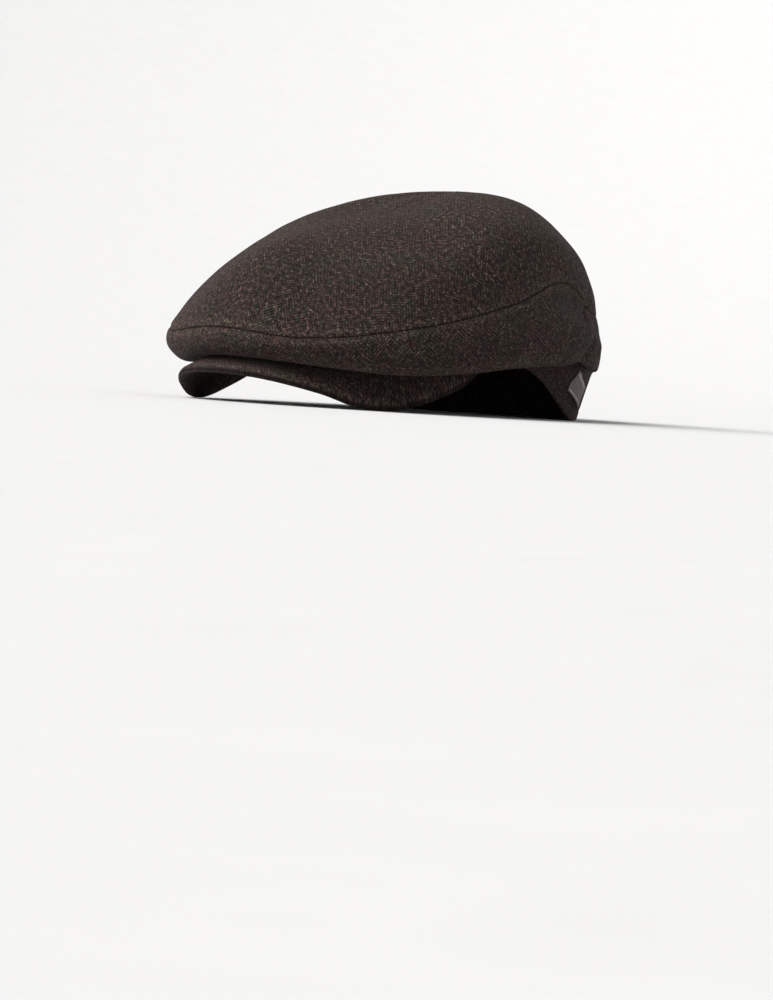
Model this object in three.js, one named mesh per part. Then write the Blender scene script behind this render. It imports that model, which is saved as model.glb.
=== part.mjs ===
// A flat cap of herringbone wool, head size 58, standing on its nape and on the two low points of its peak.
// Millimetres, +Z up, the peak towards -Y and the wearer's left at +X.
// The origin is the middle of the cap's outline, seen from above, on the surface it stands on.
import * as THREE from "three";

// Head opening, measured inside the cloth
const HEAD_LENGTH = 204;
const HEAD_WIDTH = 164;

// Cloth and the small gap that neighbouring pieces keep
const CLOTH = 2;
const SEAM_GAP = 0.3;

// Crown: how far its widest line stands out from the head line, and where it is widest
const FRONT_OVERHANG = 40;
const SIDE_OVERHANG = 22;
const BACK_OVERHANG = 7;
const WIDEST_AHEAD = 25;
const OUTLINE_SQUARENESS = 2.05;
const CROWN_RISE = 94;
const APEX_BEHIND = 30;
const ROLL_DROP = 8.6;
const TUCK_RISE = 8.5;

// Hem: level at the sides, then down behind the ears to the nape, which rests on the surface
const SIDE_LIFT = 28.5;
const HEM_DIP_START = 90;
const HEM_DIP_END = 124;
const HEM_DIP_EVENNESS = 0.5;

// Peak: an upper and an under cloth, joined along the outer edge
const PEAK_BEYOND_CROWN = 1;
const PEAK_END_WIDTH = 1.5;
const PEAK_END_TURN = 80;
const PEAK_END_AHEAD = 16;
const PEAK_END_MARGIN = 5;
const PEAK_SQUARENESS = 2.2;

// Label on the nape, at the wearer's left rear
const LABEL_LENGTH = 24;
const LABEL_HEIGHT = 13;
const LABEL_THICKNESS = 1;
const LABEL_TURN = 115.5;
const LABEL_ABOVE_HEM = 11;
const LABEL_SLANT = 24;

// How finely the cloth is cut into facets
const CROWN_STEPS = 60;
const PEAK_STEPS = 36;
const PEAK_ROWS = 4;
const LABEL_COLUMNS = 6;
const LABEL_ROWS = 3;
const STEPS_TOP = [3, 4, 4];
const STEPS_SIDE = [3, 3, 2, 2, 1, 2];

// A table's rows as objects, each value under its column's name
function table(columns, rows) {
  return rows.map((row) => Object.fromEntries(columns.map((name, i) => [name, row[i]])));
}

// One row for each turn round the cap, in degrees from the front.
// A reach is a share of the way from the crown's top point to its widest line.
// A rise is a share of CROWN_RISE above the side hem.
const TOP_COLUMNS = [
  "turn", "mid_reach", "mid_rise", "shoulder_reach", "shoulder_rise", "seam_reach", "seam_rise",
];
const TOP_TABLE = table(TOP_COLUMNS, [
  [0, 0.424, 0.784, 0.87, 0.49, 1, 0.112],
  [30, 0.408, 0.742, 0.854, 0.392, 0.997, 0.078],
  [60, 0.425, 0.865, 0.79, 0.57, 0.984, 0.172],
  [88, 0.478, 0.912, 0.795, 0.714, 0.93, 0.33],
  [112, 0.48, 0.935, 0.76, 0.755, 0.885, 0.49],
  [118, 0.478, 0.936, 0.768, 0.742, 0.897, 0.475],
  [128, 0.472, 0.933, 0.797, 0.7, 0.938, 0.355],
  [142, 0.468, 0.93, 0.832, 0.645, 0.955, 0.305],
  [180, 0.46, 0.93, 0.875, 0.565, 0.965, 0.27],
]);

// Below the seam. The wide line's rise is a share of CROWN_RISE, the other reaches are shares of the way
// from the head line to the widest line, roll_drop is a share of ROLL_DROP below the side hem,
// and tuck_rise is a share of TUCK_RISE above it.
const SIDE_COLUMNS = [
  "turn", "wide_rise", "roll_reach", "roll_drop", "tuck_reach", "tuck_rise", "ridge_reach", "hollow_reach",
];
const SIDE_TABLE = table(SIDE_COLUMNS, [
  [0, 0, 0.77, 0.5, 0.35, 1, 0.12, 0.03],
  [30, 0.005, 0.75, 0.82, 0.35, 0.94, 0.12, 0.03],
  [60, -0.02, 0.725, 1.05, 0.35, 0.76, 0.12, 0.03],
  [88, 0.105, 0.815, 0.26, 0.35, 0.6, 0.15, 0.05],
  [112, 0.165, 0.845, -0.28, 0.5, 0.5, 0.3, 0.12],
  [142, 0.18, 0.87, 0.05, 0.68, -0.15, 0.5, 0.26],
  [180, 0.18, 0.9, -0.35, 0.76, -0.35, 0.56, 0.3],
]);

// Heights of the ridge and of the hollow under it, as shares of the way from the hem up to the tuck
const RIDGE_UP = 0.78;
const HOLLOW_UP = 0.42;

// The peak's outer edge: a turn round its outline, 90 at each end, and its height as a share of SIDE_LIFT
const PEAK_TURNS = 90;
const PEAK_TABLE = table(["turn", "edge_rise"], [
  [0, 0.49],
  [20, 0.42],
  [38, 0.225],
  [50, 0.04],
  [57, -0.006],
  [64, 0.05],
  [72, 0.2],
  [80, 0.46],
  [90, 1],
]);

// Soft dents and ridges of the crown. A level counts along a section: 0 top point, 1 mid, 2 shoulder,
// 3 seam, 4 widest line, 5 roll. The spreads are half-widths, and depth goes inwards.
const FOLD_TABLE = table(["turn", "level", "turn_spread", "level_spread", "depth"], [
  [118, 3.3, 11, 0.3, 2.4],
  [144, 2.7, 12, 0.3, -1.2],
  [104, 3.62, 16, 0.26, -1.2],
  [136, 3.75, 9, 0.3, 1.6],
  [-118, 3.35, 14, 0.3, 1.6],
  [70, 1.75, 22, 0.35, 1],
  [124, 1.6, 16, 0.4, 1.6],
]);

const headLine = { half: HEAD_WIDTH / 2 + CLOTH, front: HEAD_LENGTH / 2 + CLOTH };
const wideLine = {
  half: headLine.half + SIDE_OVERHANG,
  front: headLine.front + FRONT_OVERHANG - WIDEST_AHEAD,
  back: headLine.front + BACK_OVERHANG + WIDEST_AHEAD,
};
const peakStack = 2 * (CLOTH + SEAM_GAP);
const peakFront = headLine.front + FRONT_OVERHANG + PEAK_BEYOND_CROWN;
const crownBack = headLine.front + BACK_OVERHANG;
const middle = (crownBack - peakFront) / 2;

function radians(turn) {
  return (turn * Math.PI) / 180;
}

// A signed power, for outlines a little squarer than an ellipse
function swell(value, squareness) {
  return Math.sign(value) * Math.abs(value) ** (2 / squareness);
}

// A smooth curve through one column of a table, from its first turn to its last and alike on both sides.
// The slope at a row is that of the parabola through it and its two neighbours.
function columnCurve(rows, name) {
  const last = rows[rows.length - 1].turn;
  const knots = rows.map((row) => ({ turn: row.turn, value: row[name] }));
  const inner = knots.slice(1, -1);
  const ahead = inner.map((knot) => ({ ...knot, turn: -knot.turn })).reverse();
  const beyond = inner.map((knot) => ({ ...knot, turn: 2 * last - knot.turn })).reverse();
  const all = [...ahead, ...knots, ...beyond];
  const span = (i) => all[i + 1].turn - all[i].turn;
  const rise = (i) => (all[i + 1].value - all[i].value) / span(i);
  const slope = (i) => (span(i) * rise(i - 1) + span(i - 1) * rise(i)) / (span(i) + span(i - 1));
  return (turn) => {
    const x = Math.min(Math.abs(turn), last);
    let i = ahead.length;
    while (x > all[i + 1].turn) i += 1;
    const f = (x - all[i].turn) / span(i);
    const keep = 2 * f ** 3 - 3 * f ** 2 + 1;
    const leave = span(i) * slope(i) * (f ** 3 - 2 * f ** 2 + f);
    const arrive = span(i) * slope(i + 1) * (f ** 3 - f ** 2);
    return keep * all[i].value + (1 - keep) * all[i + 1].value + leave + arrive;
  };
}

// Every column of a table but its first, each as a curve under its own name
function tableCurves(rows) {
  const names = Object.keys(rows[0]).slice(1);
  return Object.fromEntries(names.map((name) => [name, columnCurve(rows, name)]));
}

const top = tableCurves(TOP_TABLE);
const side = tableCurves(SIDE_TABLE);
const peak = tableCurves(PEAK_TABLE);

// The edge of the peak dips to the surface at its two low points, which are flat where they rest
function peakEdgeRise(turn) {
  return Math.max(peak.edge_rise(turn), 0);
}

function headPoint(turn) {
  return [headLine.half * Math.sin(radians(turn)), -headLine.front * Math.cos(radians(turn))];
}

function widePoint(turn) {
  const ahead = Math.cos(radians(turn));
  const reach = ahead > 0 ? wideLine.front : wideLine.back;
  return [
    wideLine.half * swell(Math.sin(radians(turn)), OUTLINE_SQUARENESS),
    -WIDEST_AHEAD - reach * swell(ahead, OUTLINE_SQUARENESS),
  ];
}

function between(from, to, share) {
  return [from[0] + (to[0] - from[0]) * share, from[1] + (to[1] - from[1]) * share];
}

// Height of the hem: over the peak it sits on the peak's two cloths, then it dips to the nape
function hemHeight(turn) {
  const x = Math.abs(turn);
  const dip = Math.min(Math.max((x - HEM_DIP_START) / (HEM_DIP_END - HEM_DIP_START), 0), 1);
  const eased = HEM_DIP_EVENNESS * dip + (1 - HEM_DIP_EVENNESS) * (3 - 2 * dip) * dip ** 2;
  const clear = PEAK_END_TURN + PEAK_END_MARGIN;
  const past = Math.min(Math.max((x - clear) / (HEM_DIP_START - clear), 0), 1);
  return SIDE_LIFT * (1 - eased) + peakStack * (1 - past);
}

// The control points of the section at one turn, from the top point down to the hem
function sectionPoints(turn) {
  const apex = [0, APEX_BEHIND];
  const wide = widePoint(turn);
  const head = headPoint(turn);
  const hem = hemHeight(turn);
  const tuck = SIDE_LIFT + TUCK_RISE * side.tuck_rise(turn);
  const crown = (reach, rise) => [...between(apex, wide, reach), SIDE_LIFT + CROWN_RISE * rise];
  const under = (reach, height) => [...between(head, wide, reach), height];
  return [
    crown(0, 1),
    crown(top.mid_reach(turn), top.mid_rise(turn)),
    crown(top.shoulder_reach(turn), top.shoulder_rise(turn)),
    crown(top.seam_reach(turn), top.seam_rise(turn)),
    crown(1, side.wide_rise(turn)),
    under(side.roll_reach(turn), SIDE_LIFT - ROLL_DROP * side.roll_drop(turn)),
    under(side.tuck_reach(turn), tuck),
    under(side.ridge_reach(turn), hem + (tuck - hem) * RIDGE_UP),
    under(side.hollow_reach(turn), hem + (tuck - hem) * HOLLOW_UP),
    under(0, hem),
  ].map((p) => new THREE.Vector3(...p));
}

// The names of the control points, from the top point down. A level counts along them.
const LEVEL_NAMES = ["top", "mid", "shoulder", "seam", "wide", "roll", "tuck", "ridge", "hollow", "hem"];
const SEAM_LEVEL = LEVEL_NAMES.indexOf("seam");
const TUCK_LEVEL = LEVEL_NAMES.indexOf("tuck");
const HEM_LEVEL = LEVEL_NAMES.indexOf("hem");

// A point of the section, on a centripetal curve through its control points
function sectionPoint(points, level) {
  const i = Math.min(Math.floor(level), HEM_LEVEL - 1);
  const f = level - i;
  const mirrored = points[0].clone().multiplyScalar(2).sub(points[1]).setZ(points[1].z);
  const before = i > 0 ? points[i - 1] : mirrored;
  const beyond = points[HEM_LEVEL].clone().multiplyScalar(2).sub(points[HEM_LEVEL - 1]);
  const after = i + 2 <= HEM_LEVEL ? points[i + 2] : beyond;
  const [a, b, c] = [
    Math.sqrt(before.distanceTo(points[i])),
    Math.sqrt(points[i].distanceTo(points[i + 1])),
    Math.sqrt(points[i + 1].distanceTo(after)),
  ];
  const slope = (p, q, r, near, far) =>
    q.clone().sub(p).divideScalar(near)
      .sub(r.clone().sub(p).divideScalar(near + far))
      .add(r.clone().sub(q).divideScalar(far))
      .multiplyScalar(b);
  const leave = slope(before, points[i], points[i + 1], a, b);
  const arrive = slope(points[i], points[i + 1], after, b, c);
  const keep = 2 * f ** 3 - 3 * f ** 2 + 1;
  return points[i].clone().multiplyScalar(keep)
    .addScaledVector(points[i + 1], 1 - keep)
    .addScaledVector(leave, f ** 3 - 2 * f ** 2 + f)
    .addScaledVector(arrive, f ** 3 - f ** 2);
}

// How far the folds push the cloth inwards at a place
function foldDepth(turn, level) {
  let depth = 0;
  for (const fold of FOLD_TABLE) {
    const across = (turn - fold.turn) / fold.turn_spread;
    const along = (level - fold.level) / fold.level_spread;
    depth += fold.depth * Math.exp(-across * across - along * along);
  }
  return depth;
}

const TURN_PROBE = 0.25;
const LEVEL_PROBE = 0.01;
const HALVINGS = 30;

// The outward normal of the smooth cloth at a place
function clothNormal(turn, level) {
  if (level < LEVEL_PROBE) return new THREE.Vector3(0, 0, 1);
  const up = Math.max(level - LEVEL_PROBE, 0);
  const down = Math.min(level + LEVEL_PROBE, HEM_LEVEL);
  const points = sectionPoints(turn);
  const along = sectionPoint(points, down).sub(sectionPoint(points, up));
  const across = sectionPoint(sectionPoints(turn + TURN_PROBE), level);
  across.sub(sectionPoint(sectionPoints(turn - TURN_PROBE), level));
  return along.cross(across).normalize();
}

// Outer and inner points of the cloth. At the hem the wall is cut level.
function clothPair(turn, level) {
  const base = sectionPoint(sectionPoints(turn), level);
  const normal = clothNormal(turn, level);
  if (level >= HEM_LEVEL) {
    normal.z = 0;
    normal.normalize();
  }
  const outer = base.clone().addScaledVector(normal, -foldDepth(turn, level));
  return { outer, inner: outer.clone().addScaledVector(normal, -CLOTH) };
}

// The level that lies a given length past the seam, in the cloth itself
function levelPastSeam(turn, length) {
  const points = sectionPoints(turn);
  const below = sectionPoint(points, SEAM_LEVEL + LEVEL_PROBE);
  const above = sectionPoint(points, SEAM_LEVEL - LEVEL_PROBE);
  return SEAM_LEVEL + (length * 2 * LEVEL_PROBE) / below.distanceTo(above);
}

// Levels from one control point to the next, each stretch in its own number of steps
function levelsFrom(first, steps) {
  const levels = [];
  steps.forEach((count, i) => {
    for (let k = 0; k < count; k += 1) levels.push(first + i + k / count);
  });
  levels.push(first + steps.length);
  return levels;
}

// A closed mesh from points and from faces of three or four points, turned so that its faces look out
function solid(name, colour, roughness, points, faces) {
  const flat = [];
  for (const face of faces) {
    for (let k = 1; k + 1 < face.length; k += 1) {
      for (const index of [face[0], face[k], face[k + 1]]) flat.push(index);
    }
  }
  let volume = 0;
  for (let k = 0; k < flat.length; k += 3) {
    const [a, b, c] = [points[flat[k]], points[flat[k + 1]], points[flat[k + 2]]];
    volume += a.dot(b.clone().cross(c)) / 6;
  }
  if (volume < 0) flat.reverse();
  const geometry = new THREE.BufferGeometry();
  const placed = points.flatMap((p) => [p.x, p.y - middle, p.z]);
  geometry.setAttribute("position", new THREE.Float32BufferAttribute(placed, 3));
  geometry.setIndex(flat);
  geometry.computeVertexNormals();
  const material = new THREE.MeshStandardMaterial({ color: colour, roughness, metalness: 0 });
  const mesh = new THREE.Mesh(geometry, material);
  mesh.name = name;
  return mesh;
}

// A wall between an outer and an inner sheet of points, each a list of rows, with its four rims closed
function wall(name, colour, roughness, outer, inner) {
  const rows = outer.length;
  const columns = outer[0].length;
  const points = [...outer.flat(), ...inner.flat()];
  const out = (r, c) => r * columns + c;
  const ins = (r, c) => rows * columns + out(r, c);
  const faces = [];
  for (let r = 0; r + 1 < rows; r += 1) {
    for (let c = 0; c + 1 < columns; c += 1) {
      faces.push([out(r, c), out(r + 1, c), out(r + 1, c + 1), out(r, c + 1)]);
      faces.push([ins(r, c), ins(r, c + 1), ins(r + 1, c + 1), ins(r + 1, c)]);
    }
  }
  for (let c = 0; c + 1 < columns; c += 1) {
    faces.push([out(0, c), out(0, c + 1), ins(0, c + 1), ins(0, c)]);
    faces.push([out(rows - 1, c), ins(rows - 1, c), ins(rows - 1, c + 1), out(rows - 1, c + 1)]);
  }
  for (let r = 0; r + 1 < rows; r += 1) {
    faces.push([out(r, 0), ins(r, 0), ins(r + 1, 0), out(r + 1, 0)]);
    faces.push([out(r, columns - 1), out(r + 1, columns - 1), ins(r + 1, columns - 1), ins(r, columns - 1)]);
  }
  return solid(name, colour, roughness, points, faces);
}

// The top cloth: rings of points from the seam up to the single top point
function topPanel() {
  const points = [];
  const faces = [];
  const levels = levelsFrom(0, STEPS_TOP).slice(1);
  const rings = levels.length;
  for (const layer of ["outer", "inner"]) {
    points.push(clothPair(0, 0)[layer]);
    for (const level of levels) {
      for (let k = 0; k < CROWN_STEPS; k += 1) {
        const turn = -180 + (360 * k) / CROWN_STEPS;
        const share = level / SEAM_LEVEL;
        points.push(clothPair(turn, share * levelPastSeam(turn, -SEAM_GAP / 2))[layer]);
      }
    }
  }
  const layerSize = 1 + rings * CROWN_STEPS;
  const at = (layer, ring, k) => layer * layerSize + 1 + ring * CROWN_STEPS + (k % CROWN_STEPS);
  for (let k = 0; k < CROWN_STEPS; k += 1) {
    faces.push([0, at(0, 0, k), at(0, 0, k + 1)]);
    faces.push([layerSize, at(1, 0, k + 1), at(1, 0, k)]);
    for (let ring = 0; ring + 1 < rings; ring += 1) {
      faces.push([at(0, ring, k), at(0, ring + 1, k), at(0, ring + 1, k + 1), at(0, ring, k + 1)]);
      faces.push([at(1, ring, k), at(1, ring, k + 1), at(1, ring + 1, k + 1), at(1, ring + 1, k)]);
    }
    const rim = rings - 1;
    faces.push([at(0, rim, k), at(1, rim, k), at(1, rim, k + 1), at(0, rim, k + 1)]);
  }
  return solid("top_panel", 0x3e3531, 0.95, points, faces);
}

// The side cloth: from the seam over the roll and back in to the hem, its two ends meeting at the back
function sidePanel() {
  const backGapTurn = (SEAM_GAP / 2 / wideLine.half) * (180 / Math.PI);
  const outer = [];
  const inner = [];
  for (let k = 0; k <= CROWN_STEPS; k += 1) {
    const turn = (-180 + backGapTurn) * (1 - (2 * k) / CROWN_STEPS);
    const start = levelPastSeam(turn, SEAM_GAP / 2);
    const levels = levelsFrom(SEAM_LEVEL, STEPS_SIDE).map((level) => Math.max(level, start));
    const pairs = levels.map((level) => clothPair(turn, level));
    outer.push(pairs.map((pair) => pair.outer));
    inner.push(pairs.map((pair) => pair.inner));
  }
  return wall("side_panel", 0x332b29, 0.95, outer, inner);
}

// The peak's lower face: from the head line out to the edge
function peakPoint(turn, share) {
  const rootTurn = radians((turn * PEAK_END_TURN) / PEAK_TURNS);
  const root = [(HEAD_WIDTH / 2) * Math.sin(rootTurn), (-HEAD_LENGTH / 2) * Math.cos(rootTurn)];
  const edge = [
    (HEAD_WIDTH / 2 + PEAK_END_WIDTH) * swell(Math.sin(radians(turn)), PEAK_SQUARENESS),
    -PEAK_END_AHEAD - (peakFront - PEAK_END_AHEAD) * swell(Math.cos(radians(turn)), PEAK_SQUARENESS),
  ];
  const height = SIDE_LIFT * (1 + (peakEdgeRise(turn) - 1) * share);
  return new THREE.Vector3(...between(root, edge, share), height);
}

// One of the peak's two cloths, lifted off the lower face by its place in the stack
function peakCloth(name, lift) {
  const low = [];
  const high = [];
  for (let k = 0; k <= PEAK_STEPS; k += 1) {
    const turn = PEAK_TURNS * ((2 * k) / PEAK_STEPS - 1);
    const row = [];
    for (let r = 0; r <= PEAK_ROWS; r += 1) row.push(peakPoint(turn, r / PEAK_ROWS));
    low.push(row.map((p) => p.clone().setZ(p.z + lift)));
    high.push(row.map((p) => p.clone().setZ(p.z + lift + CLOTH)));
  }
  return wall(name, 0x3a322f, 0.95, high, low);
}

// The level at which the nape cloth has a given height, found by halving
function napeLevel(turn, height) {
  const points = sectionPoints(turn);
  let high = TUCK_LEVEL;
  let low = HEM_LEVEL;
  for (let k = 0; k < HALVINGS; k += 1) {
    const half = (high + low) / 2;
    if (sectionPoint(points, half).z > height) high = half;
    else low = half;
  }
  return low;
}

// The label lies on the nape cloth, its lower edge in line with the hem's slant.
// It is laid out from its lower corner, the one nearest the ear.
function label() {
  const slant = radians(LABEL_SLANT);
  const corner = radians(LABEL_TURN);
  const stretch = Math.hypot(headLine.half * Math.cos(corner), headLine.front * Math.sin(corner));
  const perDegree = radians(1) * stretch;
  const near = [];
  const far = [];
  for (let c = 0; c <= LABEL_COLUMNS; c += 1) {
    const along = (LABEL_LENGTH * c) / LABEL_COLUMNS;
    const back = [];
    const face = [];
    for (let r = 0; r <= LABEL_ROWS; r += 1) {
      const up = (LABEL_HEIGHT * r) / LABEL_ROWS;
      const turn = LABEL_TURN + (along * Math.cos(slant) + up * Math.sin(slant)) / perDegree;
      const rise = up * Math.cos(slant) - along * Math.sin(slant);
      const level = napeLevel(turn, hemHeight(LABEL_TURN) + LABEL_ABOVE_HEM + rise);
      const normal = clothNormal(turn, level);
      const { outer } = clothPair(turn, level);
      back.push(outer.clone().addScaledVector(normal, SEAM_GAP));
      face.push(outer.clone().addScaledVector(normal, SEAM_GAP + LABEL_THICKNESS));
    }
    near.push(back);
    far.push(face);
  }
  return wall("label", 0x6a5f5b, 0.8, far, near);
}

const cap = new THREE.Group();
cap.add(topPanel());
cap.add(sidePanel());
cap.add(peakCloth("peak_under", 0));
cap.add(peakCloth("peak_top", CLOTH + SEAM_GAP));
cap.add(label());

export default cap;
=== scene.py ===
# %% [markdown]
# A flat cap is a few pieces of cloth and nothing else: a domed top, a side strip that rolls in under
# it, and a short peak. This lesson makes each cloth as a fine mesh in the place of the plain solid of
# the same name, weaves a wool herringbone on it in the shader, and photographs it on a pale table.
# The first step loads the plain model, so that everything after it is made in the same frame.

# %% Load the plain model
import math

import bpy
import numpy as np
from mathutils import Matrix, Vector, noise


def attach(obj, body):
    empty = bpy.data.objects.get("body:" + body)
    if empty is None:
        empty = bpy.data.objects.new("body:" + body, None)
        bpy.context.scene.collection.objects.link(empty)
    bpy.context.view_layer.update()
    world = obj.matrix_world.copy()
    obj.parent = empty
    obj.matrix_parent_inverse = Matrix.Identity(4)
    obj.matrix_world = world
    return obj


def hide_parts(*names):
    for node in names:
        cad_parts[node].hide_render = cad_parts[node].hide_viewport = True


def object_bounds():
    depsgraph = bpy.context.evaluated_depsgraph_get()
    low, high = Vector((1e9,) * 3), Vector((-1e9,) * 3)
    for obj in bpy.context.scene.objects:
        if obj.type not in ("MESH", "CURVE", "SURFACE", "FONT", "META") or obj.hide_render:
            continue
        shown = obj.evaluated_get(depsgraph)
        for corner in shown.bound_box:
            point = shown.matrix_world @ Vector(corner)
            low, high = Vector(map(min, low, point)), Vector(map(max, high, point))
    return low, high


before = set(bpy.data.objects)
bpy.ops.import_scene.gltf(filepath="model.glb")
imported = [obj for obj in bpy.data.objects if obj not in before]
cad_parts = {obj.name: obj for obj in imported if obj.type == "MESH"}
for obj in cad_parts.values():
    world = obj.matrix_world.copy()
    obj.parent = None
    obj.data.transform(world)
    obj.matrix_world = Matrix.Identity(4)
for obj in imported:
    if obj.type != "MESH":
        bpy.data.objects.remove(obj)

plain_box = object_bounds()
for corner in plain_box:
    print("a corner of the plain model's box:", [round(c, 4) for c in corner])

# %% [markdown]
# The cap is drawn from a few sizes that a hat maker would name: the head opening, how far the crown
# stands out over it, the height of the crown, and the lift of the hem at the sides. They are the plain
# model's own sizes, in metres, so each fine cloth lies where its solid lies.

# %% Sizes of the cap
MM = 0.001
HEAD_LENGTH = 204 * MM
HEAD_WIDTH = 164 * MM
CLOTH = 2 * MM
SEAM_GAP = 0.3 * MM
FRONT_OVERHANG = 40 * MM
SIDE_OVERHANG = 22 * MM
BACK_OVERHANG = 7 * MM
WIDEST_AHEAD = 25 * MM
OUTLINE_SQUARENESS = 2.05
CROWN_RISE = 94 * MM
APEX_BEHIND = 30 * MM
ROLL_DROP = 8.6 * MM
TUCK_RISE = 8.5 * MM
SIDE_LIFT = 28.5 * MM
HEM_DIP_START = 90
HEM_DIP_END = 124
HEM_DIP_EVENNESS = 0.5
PEAK_BEYOND_CROWN = 1 * MM
PEAK_END_WIDTH = 1.5 * MM
PEAK_END_TURN = 80
PEAK_END_AHEAD = 16 * MM
PEAK_END_MARGIN = 5
PEAK_SQUARENESS = 2.2
PEAK_TURNS = 90

head_half, head_front = HEAD_WIDTH / 2 + CLOTH, HEAD_LENGTH / 2 + CLOTH
wide_half = head_half + SIDE_OVERHANG
wide_front = head_front + FRONT_OVERHANG - WIDEST_AHEAD
wide_back = head_front + BACK_OVERHANG + WIDEST_AHEAD
peak_front = head_front + FRONT_OVERHANG + PEAK_BEYOND_CROWN
middle = (head_front + BACK_OVERHANG - peak_front) / 2
peak_stack = 2 * (CLOTH + SEAM_GAP)
print("the widest line is", round(2 * wide_half, 4), "m across")
print("the peak is", round(peak_front - head_front, 4), "m deep")

# %% [markdown]
# A soft crown has no single curve. Its section changes all the way round, so it is described by rows:
# one for each turn from the front, with the section's control points as shares of the sizes above.
# Between the rows every value runs on a smooth curve, with the slope of a parabola through three rows.

# %% Tables of the crown and the peak
TOP_COLUMNS = ["mid_reach", "mid_rise", "shoulder_reach", "shoulder_rise", "seam_reach", "seam_rise"]
TOP_TABLE = {
    0: [0.424, 0.784, 0.87, 0.49, 1, 0.112],
    30: [0.408, 0.742, 0.854, 0.392, 0.997, 0.078],
    60: [0.425, 0.865, 0.79, 0.57, 0.984, 0.172],
    88: [0.478, 0.912, 0.795, 0.714, 0.93, 0.33],
    112: [0.48, 0.935, 0.76, 0.755, 0.885, 0.49],
    118: [0.478, 0.936, 0.768, 0.742, 0.897, 0.475],
    128: [0.472, 0.933, 0.797, 0.7, 0.938, 0.355],
    142: [0.468, 0.93, 0.832, 0.645, 0.955, 0.305],
    180: [0.46, 0.93, 0.875, 0.565, 0.965, 0.27],
}
SIDE_COLUMNS = [
    "wide_rise", "roll_reach", "roll_drop", "tuck_reach", "tuck_rise", "ridge_reach", "hollow_reach",
]
SIDE_TABLE = {
    0: [0, 0.77, 0.5, 0.35, 1, 0.12, 0.03],
    30: [0.005, 0.75, 0.82, 0.35, 0.94, 0.12, 0.03],
    60: [-0.02, 0.725, 1.05, 0.35, 0.76, 0.12, 0.03],
    88: [0.105, 0.815, 0.26, 0.35, 0.6, 0.15, 0.05],
    112: [0.165, 0.845, -0.28, 0.5, 0.5, 0.3, 0.12],
    142: [0.18, 0.87, 0.05, 0.68, -0.15, 0.5, 0.26],
    180: [0.18, 0.9, -0.35, 0.76, -0.35, 0.56, 0.3],
}
PEAK_COLUMNS = ["edge_rise"]
PEAK_TABLE = {
    0: [0.49],
    20: [0.42],
    38: [0.225],
    50: [0.04],
    57: [-0.006],
    64: [0.05],
    72: [0.2],
    80: [0.46],
    90: [1],
}
RIDGE_UP = 0.78
HOLLOW_UP = 0.42


def column_curve(table, column):
    """A smooth curve through one column, alike on both sides of the front."""
    turns = np.array(sorted(table), float)
    values = np.array([table[t][column] for t in sorted(table)], float)
    x = np.concatenate([-turns[1:-1][::-1], turns, 2 * turns[-1] - turns[1:-1][::-1]])
    y = np.concatenate([values[1:-1][::-1], values, values[1:-1][::-1]])
    span = np.diff(x)
    rise = np.diff(y) / span
    slope = np.zeros(len(x))
    slope[1:-1] = (span[1:] * rise[:-1] + span[:-1] * rise[1:]) / (span[1:] + span[:-1])

    def at(turn):
        t = np.minimum(np.abs(turn), turns[-1])
        i = np.clip(np.searchsorted(x, t, side="left") - 1, 0, len(span) - 1)
        f = (t - x[i]) / span[i]
        keep = 2 * f**3 - 3 * f**2 + 1
        leave = span[i] * slope[i] * (f**3 - 2 * f**2 + f)
        arrive = span[i] * slope[i + 1] * (f**3 - f**2)
        return keep * y[i] + (1 - keep) * y[i + 1] + leave + arrive

    return at


top = {name: column_curve(TOP_TABLE, i) for i, name in enumerate(TOP_COLUMNS)}
side = {name: column_curve(SIDE_TABLE, i) for i, name in enumerate(SIDE_COLUMNS)}
peak_edge = column_curve(PEAK_TABLE, PEAK_COLUMNS.index("edge_rise"))
print("curves:", len(top), "for the top,", len(side), "for the side,", len(PEAK_COLUMNS), "for the peak")

# %% [markdown]
# Seen from above, the crown's outline is a little squarer than an ellipse and reaches further out at
# the front. The section at each turn runs from the top point to the hem through ten control points,
# and a centripetal curve joins them, because that kind never loops or overshoots where two of them lie
# close together. A place on the cloth is then two numbers: the turn round the cap and the level down
# the section, where 0 is the top point, 3 the seam, 4 the widest line and 9 the hem.

# %% The form of the crown
SEAM_LEVEL, WIDE_LEVEL, TUCK_LEVEL, HEM_LEVEL = 3, 4, 6, 9


def swell(value, squareness):
    """A sine or cosine pushed outwards, so that its ellipse grows squarer."""
    return np.sign(value) * np.abs(value) ** (2 / squareness)


def hem_height(turn):
    """Over the peak the hem sits on the peak's two cloths, then it dips to the nape."""
    x = np.abs(turn)
    dip = np.clip((x - HEM_DIP_START) / (HEM_DIP_END - HEM_DIP_START), 0, 1)
    eased = HEM_DIP_EVENNESS * dip + (1 - HEM_DIP_EVENNESS) * (3 - 2 * dip) * dip**2
    clear = PEAK_END_TURN + PEAK_END_MARGIN
    past = np.clip((x - clear) / (HEM_DIP_START - clear), 0, 1)
    return SIDE_LIFT * (1 - eased) + peak_stack * (1 - past)


def plan_lines(turn):
    """The head line and the widest line, seen from above."""
    across, ahead = np.sin(np.radians(turn)), np.cos(np.radians(turn))
    head = np.stack([head_half * across, -head_front * ahead], -1)
    reach = np.where(ahead > 0, wide_front, wide_back)
    wide_y = -WIDEST_AHEAD - reach * swell(ahead, OUTLINE_SQUARENESS)
    return head, np.stack([wide_half * swell(across, OUTLINE_SQUARENESS), wide_y], -1)


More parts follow.
